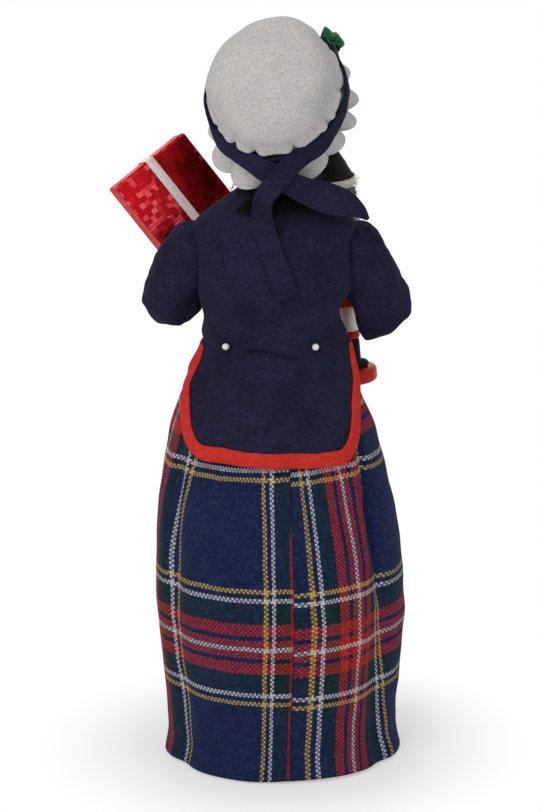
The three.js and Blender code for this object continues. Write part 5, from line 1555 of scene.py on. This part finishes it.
def leafMaterial():
    h = hollySprig
    material, tree, shader, where = newMaterial("hollyLeaf", **{
        "Roughness": 0.42, "Coat Weight": 0.2, "Coat Roughness": 0.25})
    split = addNode(tree, "ShaderNodeSeparateXYZ", {0: flatMap(tree)})
    along, across = split.outputs["X"], maths(tree, "ABSOLUTE", split.outputs["Y"])
    branch = maths(tree, "SUBTRACT", along, maths(tree, "MULTIPLY", across, 0.9))
    ribs = maths(tree, "SUBTRACT", maths(tree, "FLOORED_MODULO", branch, 2.3), 1.15)
    ribs = between(tree, maths(tree, "ABSOLUTE", ribs), 0.05, 0.2, 0.5, 0)
    vein = maths(tree, "MAXIMUM", ribs, between(tree, across, 0.12, 0.35, 1, 0))
    patch = noise(tree, where, 500, 3, 0.55)
    tone = mix(tree, between(tree, patch, 0.35, 0.7), colour(*h["leafTone"]),
               colour(*h["leafDark"]))
    tone = mix(tree, maths(tree, "MULTIPLY", vein, 0.55), tone, colour(*h["vein"]))
    dress(tree, shader, tone, relief=(maths(tree, "SUBTRACT", patch, vein), 0.35, 0.25))
    return material


def makeHolly():
    h = hollySprig
    rows, columns, wall = h["rows"], h["columns"], h["wall"]
    # three scallops between the prickles along each edge
    run = np.linspace(0, 3, rows)
    scallop = np.minimum(run.astype(int), 2)
    t = run - scallop
    ends = np.array((0, 1, 1, 0)) * h["width"] / 2
    dips = np.array((0.3, 0.27, 0.27)) * h["width"]
    half = (1 - t) ** 2 * ends[scallop] + 2 * t * (1 - t) * dips[scallop]
    half = np.maximum(half + t ** 2 * ends[scallop + 1], 0.04)[:, None]
    share = np.linspace(-1, 1, columns)[None, :]
    x = ((run / 3 - 0.5) * h["length"])[:, None] + 0 * share
    y = half * share
    z = 0.55 * (np.abs(share) ** 1.6) * half / 4 - 0.3 * np.exp(-np.abs(y) / 0.35)
    z = z + 0.12 * np.sin(x * 1.4) * np.abs(share)
    points = np.stack([x, y, z + wall], axis=-1)
    leafPaint = leafMaterial()
    for node, (lift, spin) in h["leaves"].items():
        back = (points @ turned("Z", spin).T)[..., 1]
        curl = np.stack([0 * back, 0 * back, h["curl"] * np.maximum(back, 0) ** 2], axis=-1)
        places = onBand((points + curl).reshape(-1, 3), h["angle"], lift, spin)
        leaf = makePiece(camel(node), places, gridFaces(rows, columns), leafPaint,
                         np.stack([x, y], axis=-1))
        outward = placesOf(leaf).mean(axis=0) - headPlace((0, 8, 40))
        if normalsOf(leaf).mean(axis=0) @ outward < 0:
            leaf.data.flip_normals()
        thicken(leaf, wall * 0.8)
        settle(leaf, "head", "holly_green", node)
    berryPaint = paintMaterial("berryGloss", *h["berryPaint"])
    arc = np.radians(np.linspace(-90, 90, 20))
    dimple = 1 - 0.12 * bump(math.pi / 2 - arc, 0.25)
    ball = h["berry"] * np.column_stack([np.cos(arc), np.sin(arc) * dimple])
    for node, side in (("holly_berry_left", -1), ("holly_berry_right", 1)):
        angle = h["angle"] + side * h["berryStep"]
        berry = lathe(camel(node), ball, berryPaint,
                      lambda p: onBand(p, angle, h["berryLift"], 0), 36)
        settle(berry, "head", "berry_red", node)


makeHolly()
print("holly ready")


# Gift: a box in prismatic red foil with folded ends, a white ribbon and a bow

giftWrap = {
    "size": (39, 22, 52), "turns": (("Z", 10.7), ("X", 13.6), ("Y", 35.5)),
    "palm": (20.2, -43.9, 210), "rise": 33.4, "bevel": 0.7, "cell": 2.4, "flapWall": 0.3,
    # the foil's dark and mid red make a painted reflection, and its pink a painted highlight
    "foilDarkReflection": (104, 12, 16), "foil": (180, 25, 31), "foilHighlight": (250, 92, 100),
    "foilTint": (225, 96, 98),
    "satin": {"Base": (214, 198, 196), "Tip": (244, 238, 236), "Scale": 700, "Roughness": 0.4,
              "Sheen Weight": 0.3, "Sheen Roughness": 0.3},
    "ribbonWidth": 4.0, "ribbonWall": 0.5, "ribbonGap": 0.53, "ribbonCorner": 0.8,
    # out along the bow and off the gift, for the right half
    "bowLoop": ((0, 0.4), (4.5, 4.2), (9, 6.6), (11.6, 4.8), (10.6, 1.4), (5, 0.6), (0, 0.5)),
    "bowEnd": ((0, 0.35), (4, 0.9), (8.5, 0.5), (11.4, 1.3)), "bowSlant": 24,
    "bowKnot": ((-1.9, 0.3), (-1.5, 2.1), (0, 2.9), (1.5, 2.1), (1.9, 0.3)),
}


def giftPlace(points):
    g = giftWrap
    turn = np.eye(3)
    for axis, degrees in g["turns"]:
        turn = turn @ turned(axis, degrees)
    return np.asarray(points, float) @ turn.T + np.array(g["palm"]) + g["rise"] * turn[:, 2]


def foilMaterial():
    g = giftWrap
    material, tree, shader, where = newMaterial("redFoil", **{
        "Metallic": 0.9, "Specular Tint": colour(*g["foilTint"])})
    flat = flatMap(tree)
    side = addNode(tree, "ShaderNodeSeparateXYZ", {0: flat}).outputs["Y"]
    cells = vectorMaths(tree, "SCALE", flat, scale=1 / g["cell"])
    chance = addNode(
        tree, "ShaderNodeTexVoronoi",
        {"Vector": flat, "Scale": 1 / g["cell"], "Smoothness": 0.16, "Randomness": 0.5},
        voronoi_dimensions="2D", feature="SMOOTH_F1", distance="CHEBYCHEV").outputs["Color"]
    luck = addNode(tree, "ShaderNodeSeparateColor", {0: chance}).outputs[0]
    fine = vectorMaths(tree, "FLOOR", vectorMaths(tree, "SCALE", cells, scale=3))
    spark = addNode(tree, "ShaderNodeTexWhiteNoise", {"Vector": fine}, noise_dimensions="2D")
    # painted reflection: dark and light sweeps, lighter towards one edge of each face, then
    # painted highlight cells in clusters, more towards that edge
    tone = maths(tree, "ADD", between(tree, noise(tree, flat, 0.035, 1, 0.5), 0.32, 0.68),
                 between(tree, side, -14, 6, -0.3, 0.2))
    tone = maths(tree, "ADD", tone, between(tree, luck, 0, 1, -0.06, 0.06))
    base = mix(tree, tone, colour(*g["foilDarkReflection"]), colour(*g["foil"]))
    highlightCluster = maths(tree, "ADD", noise(tree, flat, 0.06, 2, 0.5),
                    between(tree, side, -8, 8, -0.16, 0.14))
    highlightCells = maths(tree, "MULTIPLY", between(tree, luck, 0.56, 0.8),
                 between(tree, highlightCluster, 0.46, 0.6))
    highlightCells = maths(tree, "MULTIPLY", highlightCells, between(tree, spark.outputs["Value"], 0, 1, 0.6, 1))
    tilt = vectorMaths(tree, "SUBTRACT", chance, (0.5, 0.5, 0.5))
    facet = vectorMaths(tree, "DOT_PRODUCT", vectorMaths(tree, "FRACTION", cells), tilt)
    facet = maths(tree, "MULTIPLY", facet, between(tree, side, -8, 8, 0.25, 1))
    crease = maths(tree, "MULTIPLY", noise(tree, where, 120, 3, 0.6), 0.9)
    # painted highlight cells over the painted reflection
    dress(tree, shader, mix(tree, highlightCells, base, colour(*g["foilHighlight"])),
          between(tree, luck, 0, 1, 0.2, 0.36), (maths(tree, "ADD", facet, crease), 0.5, 0.5))
    return material


def foilBlock(name, size, material):
    half = np.array(size) / 2
    points, faces, uv = [], [], []
    for axis in range(3):
        a, b = (axis + 1) % 3, (axis + 2) % 3
        for sign in (-1, 1):
            start = len(points)
            for sa, sb in ((-1, -1), (1, -1), (1, 1), (-1, 1))[::sign]:
                p = np.zeros(3)
                p[axis], p[a], p[b] = sign * half[axis], sa * half[a], sb * half[b]
                points.append(p)
                uv.append((p[a] + 90 * axis + 40 * sign, p[b]))
            faces.append(tuple(range(start, start + 4)))
    return weld(makePiece(name, giftPlace(points), faces, material, uv))


def foilFlap(name, outline, low, wall, material):
    # a folded flap of wrapping lying on an end of the box, given as x, y corners
    count = len(outline)
    points = np.vstack([
        np.column_stack([outline, np.full(count, level)]) for level in (low, low + wall)])
    faces = [tuple(range(count))[::-1], tuple(range(count, 2 * count))]
    for k in range(count):
        d = (k + 1) % count
        faces.append((k, d, count + d, count + k))
    uv = points[:, :2] + (200, 11 * low)
    piece = weld(makePiece(name, giftPlace(points), faces, material, uv))
    return finishEdges(piece, abs(wall) * 0.35, 2)


def ribbonBand(name, path, half, wall, material, place, loop=False):
    # a flat ribbon along a path in the Y, Z plane, its width across X
    path = np.array(path, float)
    if loop:
        ahead = np.roll(path, -1, axis=0) - np.roll(path, 1, axis=0)
    else:
        ahead = np.gradient(path, axis=0)
    along = unit(ahead)
    out = np.stack([along[:, 1], -along[:, 0]], axis=1)
    section = [(-half, 0.1), (-half + 0.15, wall), (0, wall * 1.15), (half - 0.15, wall),
               (half, 0.1), (0, 0)]
    sections = np.array([[(x, y + o * n, z + p * n) for x, n in section]
                         for (y, z), (o, p) in zip(path, out)])
    places = place(sections.reshape(-1, 3)).reshape(sections.shape)
    return strip(name, places, material, loop)


def makeGift():
    g = giftWrap
    foil = foilMaterial()
    satin = groupMaterial("whiteSatin", streakGroup, (0.2, 0.1), g["satin"])
    wide, deep, tall = np.array(g["size"]) / 2
    parts = [finishEdges(foilBlock("giftBox", g["size"], foil), g["bevel"])]
    for end in (1, -1):
        low, wall = end * (tall - 0.05), end * g["flapWall"]
        upper = [(-wide + 0.5, deep - 0.4), (wide - 0.5, deep - 0.4), (wide * 0.5, -1.2),
                 (-wide * 0.5, -1.2)]
        under = [(-wide + 0.5, 0.4 - deep), (wide - 0.5, 0.4 - deep), (wide * 0.46, 1.6),
                 (-wide * 0.46, 1.6)]
        parts.append(foilFlap("giftFlapUnder", under[::end], low, wall * 0.7, foil))
        parts.append(foilFlap("giftFlapOver", upper[::end], low, wall * 1.6, foil))
    settle(joined("giftFoil", parts), "left_arm", "red_foil", "gift_box")
    gap, half, wall = g["ribbonGap"], g["ribbonWidth"] / 2, g["ribbonWall"]
    r = g["ribbonCorner"]
    y, z = deep + gap - r, tall + gap - r
    path = []
    for cy, cz, start in ((y, z, 0), (-y, z, 90), (-y, -z, 180), (y, -z, 270)):
        for a in np.radians(np.linspace(start, start + 90, 7)):
            path.append((cy + r * math.cos(a), cz + r * math.sin(a)))
    ribbon = ribbonBand("giftRibbon", path, half, wall * 0.6, satin, giftPlace, loop=True)
    settle(ribbon, "left_arm", "white_satin", "gift_ribbon")
    front = deep + gap + wall

    def bowPlace(points):
        # the strip's X becomes the ribbon's width, Y runs along the bow, Z stands off the gift
        x, y, z = points.T
        return giftPlace(np.stack([y, -front - z, x], axis=1))
    parts = []
    for side in (1, -1):
        loop = through(np.array(g["bowLoop"]) * (side, 1), 44)
        parts.append(ribbonBand("bowLoop", loop, half, 0.4, satin, bowPlace))
        end = through(np.array(g["bowEnd"]) * (side, 1), 24)
        slant = turned("Z", side * g["bowSlant"])
        parts.append(ribbonBand("bowEnd", end, half * 0.9, 0.35, satin,
                                lambda p: bowPlace(p @ slant.T)))
    knot = through(g["bowKnot"], 20)
    parts.append(ribbonBand("bowKnot", knot, half * 0.85, 0.6, satin, bowPlace))
    settle(joined("giftBow", parts), "left_arm", "white_satin", "gift_bow")


makeGift()
print("gift ready")


# Nutcracker soldier: turned and painted wood with fur trim

toyShape = {
    "lean": 4.5, "yaw": -65, "axis": (-29.3, -45.2, 206), "grip": 50, "leg": 4.2, "arm": 12.5,
    "head": 8.0, "leverHalf": 2.4, "coatSlot": (20, 76.5, 6.1), "headSlot": (60, 82.4, -30),
    "bootVoxel": 0.28, "bootRounds": 4, "furCrumple": ((0.14, 2.2, 61),),
    # turned parts, as radius and height
    "base": ((0, 0), (10.6, 0), (11.5, 0.3), (12, 1.2), (12, 4.4), (11.8, 5.2), (11.3, 5.9),
             (10.4, 6.4), (9.6, 6.5), (0, 6.5)),
    "shaft": ((0, 6.8), (3.5, 6.8), (3.6, 7.2), (3.6, 19.6), (3.4, 20.2), (3.0, 20.3), (0, 20.3)),
    "cuff": ((0, 20.6), (3.4, 20.6), (3.9, 21.1), (4.05, 22.2), (3.9, 23.5), (3.5, 24.0),
             (0, 24.05)),
    "thigh": ((0, 24.1), (3.35, 24.1), (3.5, 24.6), (3.42, 29), (3.5, 35.4), (3.2, 35.7),
              (0, 35.7)),
    "coat": ((0, 36), (9.5, 36), (9.8, 36.3), (9.8, 36.9), (9.5, 38.5), (8.9, 42), (8.55, 44.6),
             (8.5, 45), (8.5, 48.2), (8.6, 49), (9.1, 53), (9.4, 59), (9.3, 63), (8.9, 66),
             (8.2, 67.6), (6.8, 68.9), (5.2, 69.8), (4.6, 70), (0, 70)),
    "belt": ((8.8, 45.2), (9.3, 45.2), (9.5, 45.5), (9.5, 47.7), (9.3, 48), (8.8, 48),
             (8.8, 45.2)),
    "skull": ((0, 70.3), (5.6, 70.3), (6.2, 70.5), (7.2, 72), (7.9, 74.1), (8, 75), (8, 92),
              (7.8, 92.7), (7.4, 93), (0, 93)),
    # height, half width and half depth
    "hat": ((93.3, 0, 0), (93.3, 9.0, 10), (93.8, 9.1, 10.1), (94.8, 8.5, 8.9), (97.8, 7.2, 7.3),
            (100, 6.4, 6.4), (104.6, 4, 3.8), (107.2, 2.2, 2.0), (108.0, 1.3, 1.2),
            (108.3, 0.01, 0.01)),
    "buttons": ((9.0, 52.2), (9.3, 56.6), (9.35, 61)),
    # low and high edge, and thickness
    "hair": (82.7, 88.9, 1.9), "hatBand": (89.2, 93, 1.7),
    # strands a square metre, seed, length, curl radius, turns, thickness, droop and spread
    "toyHairFur": (900000, 4, 1.7, 0.16, 0.6, 0.07, 0.35, 0.7),
    "toyHatBandFur": (1200000, 5, 1.7, 0.16, 0.6, 0.07, 0.35, 0.7),
    "toyBeardFur": (4500000, 6, 1.9, 0.16, 0.6, 0.07, 1.0, 0.7),
}


def toyTurn():
    return turned("Y", toyShape["lean"]) @ turned("Z", toyShape["yaw"])


def toyPlace(points):
    t, turn = toyShape, toyTurn()
    return np.asarray(points, float) @ turn.T + np.array(t["axis"]) - t["grip"] * turn[:, 2]


def toyLocal(places):
    # back from the figure's frame to the toy's own
    return (places - toyPlace((0, 0, 0))) @ toyTurn()


def toyTurned(name, part, material, x=0.0, segments=72):
    return lathe(name, toyShape[part], material, lambda p: toyPlace(p + (x, 0, 0)), segments)


def toyBall(name, place, radii, material, segments=32):
    arc = np.radians(np.linspace(-90, 90, segments // 2 + 2))
    stations = np.column_stack([np.cos(arc), np.sin(arc)])
    return lathe(name, stations, material, lambda p: toyPlace(p * radii + place), segments)


def toyTube(name, path, count, radii, material, sides):
    return tube(name, toyPlace(through(path, count)), radii, material, sides)


def toySlot(piece, low, high, near):
    # cuts the channel in which the jaw lever swings
    half = toyShape["leverHalf"]
    corners = [(x, y, z) for x in (-half, half) for y in (near, 30) for z in (low, high)]
    faces = [(0, 1, 3, 2), (4, 6, 7, 5), (0, 4, 5, 1), (2, 3, 7, 6), (0, 2, 6, 4), (1, 5, 7, 3)]
    tool = weld(makePiece("slotTool", toyPlace(corners), faces, piece.data.materials[0]))
    addModifier(piece, "BOOLEAN", operation="DIFFERENCE", object=tool, solver="EXACT")
    bake(piece)
    bpy.data.objects.remove(tool)
    piece.data.set_sharp_from_angle(angle=math.radians(38))
    return piece


def makeToyLimbs(side, sign):
    t = toyShape
    x = sign * t["leg"]
    shaft = toyTurned("shaft", "shaft", toyBlack, x)
    toe = toyBall("toe", (x, -3.0, 7.9), (3.4, 4.4, 2.6), toyBlack)
    sole = toyBall("sole", (x, -2.4, 7.5), (3.4, 4.9, 0.7), toyBlack)
    boot = joined(camel(f"toy_{side}_boot"), [shaft, toe, sole])
    remesh(boot, t["bootVoxel"], t["bootRounds"])
    settle(boot, "right_arm", "toy_black", f"toy_{side}_boot")
    cuff = toyTurned("cuff", "cuff", toyRed, x)
    thigh = toyTurned("thigh", "thigh", toyWhite, x)
    leg = joined(camel(f"toy_{side}_leg"), [cuff, thigh])
    settle(leg, "right_arm", "toy_white", f"toy_{side}_leg")
    x = sign * t["arm"]
    girth = np.interp(np.linspace(0, 1, 40), [0, 0.05, 0.16, 0.4, 0.8, 0.98, 1],
                      [0.6, 2.0, 2.75, 2.6, 2.35, 2.4, 2.1])
    path = [(x * 0.97, 0.3, 65.2), (x, 0.3, 62), (x * 1.03, 0.3, 49), (x * 1.02, -0.6, 38.6)]
    sleeve = toyTube("sleeve", path, 40, girth, toyRed, 36)
    girth = (2.3, 2.6, 2.7, 2.72, 2.72, 2.7, 2.6, 2.2)
    path = [(x * 1.02, -0.45, 40.4), (x * 1.02, -0.62, 38.4)]
    trim = toyTube("trim", path, len(girth), girth, toyGold, 36)
    hand = toyBall("hand", (x * 1.02, -0.8, 35.9), (1.9, 2.3, 3.0), toySkin)
    arm = joined(camel(f"toy_{side}_arm"), [sleeve, trim, hand])
    settle(arm, "right_arm", "toy_red", f"toy_{side}_arm")


def makeToyBody():
    t = toyShape
    base = toyTurned("toyBase", "base", toyRed, segments=96)
    settle(base, "right_arm", "toy_red", "toy_base")
    makeToyLimbs("left", 1)
    makeToyLimbs("right", -1)
    coat = toySlot(toyTurned("toyCoat", "coat", toyRed, segments=96), *t["coatSlot"])
    buttons = [toyBall("button", (0, -y, z), (0.75, 0.4, 0.75), toyGold, 16)
               for y, z in t["buttons"]]
    settle(joined("toyCoat", [coat, *buttons]), "right_arm", "toy_red", "toy_coat")
    belt = toySlot(toyTurned("toyBelt", "belt", toyBlack, segments=96), *t["coatSlot"])
    buckle = toyBall("buckle", (0, -9.5, 46.6), (1.9, 0.4, 1.5), toyGold, 20)
    settle(joined("toyBelt", [belt, buckle]), "right_arm", "toy_black", "toy_belt")


def makeToyHead():
    t = toyShape
    skull = toySlot(toyTurned("toyHead", "skull", toySkin, segments=96), *t["headSlot"])
    parts = [skull, toyBall("nose", (0, -8.2, 85.7), (1.25, 2.0, 1.45), toySkin)]
    girth = np.interp(np.linspace(0, 1, 20), [0, 0.3, 1], [0.45, 0.7, 0.18])
    for sign in (1, -1):
        turn = math.radians(sign * 24)
        spot = np.array((7.9 * math.sin(turn), -7.9 * math.cos(turn), 86.9))
        parts.append(toyBall("eyeWhite", spot, (1.05, 0.45, 0.8), toyWhite, 20))
        parts.append(toyBall("eyeDark", spot + (0, -0.35, 0), (0.45, 0.25, 0.5), toyBlack, 16))
        brow = [spot + (sign * -1.1, -0.1, 1.3), spot + (0, -0.25, 1.75),
                spot + (sign * 1.2, 0.15, 1.2)]
        parts.append(toyTube("brow", brow, 14, np.full(14, 0.24), toyBlack, 10))
        curl = [(sign * 0.3, -8.9, 83.9), (sign * 1.9, -8.7, 83.6), (sign * 3.6, -7.9, 83.9),
                (sign * 4.6, -7.2, 84.7)]
        parts.append(toyTube("moustache", curl, 20, girth, whiteFur, 12))
    settle(joined("toyHead", parts), "right_arm", "toy_skin", "toy_head")
    angle = ringOf(72)
    rings = [np.column_stack([wide * np.cos(angle), deep * np.sin(angle), 0 * angle + z])
             for z, wide, deep in t["hat"]]
    faces = gridFaces(len(rings), len(angle), True)
    hat = weld(makePiece("toyHat", toyPlace(np.vstack(rings)), faces, toyBlack))
    settle(hat, "right_arm", "toy_black", "toy_hat")


def furRing(name, low, high, thickness, material):
    inner = toyShape["head"] + 0.25
    near, far, full = inner + thickness * 0.6, inner + thickness * 0.9, inner + thickness
    section = [(inner, low), (near, low + 0.1), (far, low + 0.7), (full, (low + high) / 2),
               (far, high - 0.7), (near, high - 0.1), (inner, high), (inner, low)]
    ring = lathe(name, section, material, toyPlace, 84)
    return pushOut(ring, lambda places: crumple(places, toyShape["furCrumple"]))


def addFur(piece, finish, keep, body, slot, node):
    # settles the piece and the fur on the faces that keep chooses
    settle(piece, body, slot, node)
    name = piece.name + "Fur"
    settle(growStrands(name, piece, toyShape[name], finish, keep), body, slot)


def makeToyFur():
    t = toyShape
    hair = furRing("toyHair", *t["hair"], greyFur)
    with editing(hair) as shape:  # opens the ring at the face
        drop = []
        for side in shape.faces:
            x, y, z = toyLocal(np.array(side.calc_center_median()) / mm)
            if y < -1 and abs(x) < 6.2:
                drop.append(side)
        bmesh.ops.delete(shape, geom=drop, context="FACES")
        bmesh.ops.holes_fill(shape, edges=shape.edges, sides=40)
        bmesh.ops.recalc_face_normals(shape, faces=shape.faces)
    face = toyPlace((0, -20, 86))
    addFur(hair, greyFur, lambda p, n: np.linalg.norm(p - face, axis=1) > 8,
           "right_arm", "dark_fur", "toy_hair")
    band = furRing("toyHatBand", *t["hatBand"], whiteFur)
    addFur(band, whiteFur, lambda p, n: p[:, 2] > 0, "right_arm", "white_fur", "toy_hat_band")
    beard = toyBall("toyBeard", (0, -9.3, 74.6), (2.4, 1.5, 3.0), whiteFur)
    addFur(beard, whiteFur, lambda p, n: toyLocal(p)[:, 1] < -9.2,
           "nutcracker_lever", "white_fur", "toy_beard")


def makeLever():
    lever = finishEdges(nodeCopy("toy_lever", "toyLever", toyRed), 0.3, 3)
    settle(lever, "nutcracker_lever", "toy_red", "toy_lever")


makeToyBody()
makeToyHead()
makeToyFur()
makeLever()
print("nutcracker ready")


# Inside: wooden base, wire frame and packed paper

insideFinish = {
    "wood": (168, 128, 88), "woodDark": (120, 84, 54), "paper": (205, 188, 158),
    "paperDark": (168, 148, 116), "steel": (150, 152, 156), "steelDark": (112, 112, 116),
    "voxel": 2.4, "rounds": 2, "crumple": 1.2, "least": 0.5, "most": 3.2,
    "waistSink": 3.6, "waistHeight": 199, "waistSpread": 11,
}


def woodMaterial():
    material, tree, shader, where = newMaterial("baseWood", Roughness=0.6)
    wood, dark = [colour(*insideFinish[tone]) for tone in ("wood", "woodDark")]
    ring = noise(tree, stretched(tree, where, (1, 9, 9)), 28, 4, 0.6, 0.8)
    fleck = noise(tree, stretched(tree, where, (0.2, 2, 2)), 900, 2, 0.5)
    tone = mix(tree, between(tree, ring, 0.35, 0.68), wood, dark)
    tone = mix(tree, between(tree, fleck, 0.55, 0.75, 0, 0.5), tone, dark)
    dress(tree, shader, tone, between(tree, ring, 0.3, 0.7, 0.5, 0.7), (fleck, 0.3, 0.2))
    return material


def steelMaterial():
    material, tree, shader, where = newMaterial("steelWire", Metallic=1.0)
    steel, dark = [colour(*insideFinish[tone]) for tone in ("steel", "steelDark")]
    drawn = noise(tree, stretched(tree, where, (1, 1, 0.1)), 2500, 2, 0.6)
    dress(tree, shader, mix(tree, between(tree, drawn, 0.3, 0.7), steel, dark),
          between(tree, drawn, 0.3, 0.7, 0.28, 0.45))
    return material


def paperMaterial():
    material, tree, shader, where = newMaterial("packingPaper", Roughness=0.9)
    paper, dark = [colour(*insideFinish[tone]) for tone in ("paper", "paperDark")]
    pulp = noise(tree, where, 700, 4, 0.65)
    fold = addNode(tree, "ShaderNodeTexVoronoi", {"Vector": where, "Scale": 130.0},
                   feature="DISTANCE_TO_EDGE").outputs["Distance"]
    tone = mix(tree, between(tree, pulp, 0.35, 0.7), paper, dark)
    # painted shade: darker along the crease lines
    tone = mix(tree, between(tree, fold, 0, 0.08, 0.35, 0), tone, dark)
    height = maths(tree, "ADD", between(tree, fold, 0, 0.25), maths(tree, "MULTIPLY", pulp, 0.4))
    dress(tree, shader, tone, relief=(height, 0.6, 1.0))
    return material


def packedIn(places):
    # crumpled inward, and more at the waist
    f = insideFinish
    sink = 1.5 + np.abs(ripple(places, 17, 71)) - 0.7 * np.abs(ripple(places, 8, 72))
    waist = f["waistSink"] * bump(places[:, 2] - f["waistHeight"], f["waistSpread"])
    return -(np.clip(f["crumple"] * sink, f["least"], f["most"]) + waist)


def makeInside():
    f = insideFinish
    paper = paperMaterial()
    for node in ("skirt_stuffing", "torso_stuffing"):
        pack = remesh(nodeCopy(node, camel(node), paper), f["voxel"], f["rounds"])
        pushOut(pack, packedIn)
        settle(pack, "torso", "packing_paper", node)
    finishes = {"base_disc": woodMaterial()}
    steel = steelMaterial()
    for node in ("frame_wire", "left_arm_wire", "right_arm_wire", "toy_pin"):
        finishes[node] = steel
    for node, material in finishes.items():
        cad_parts[node].material_slots[0].material = material


makeInside()
print("inside ready")
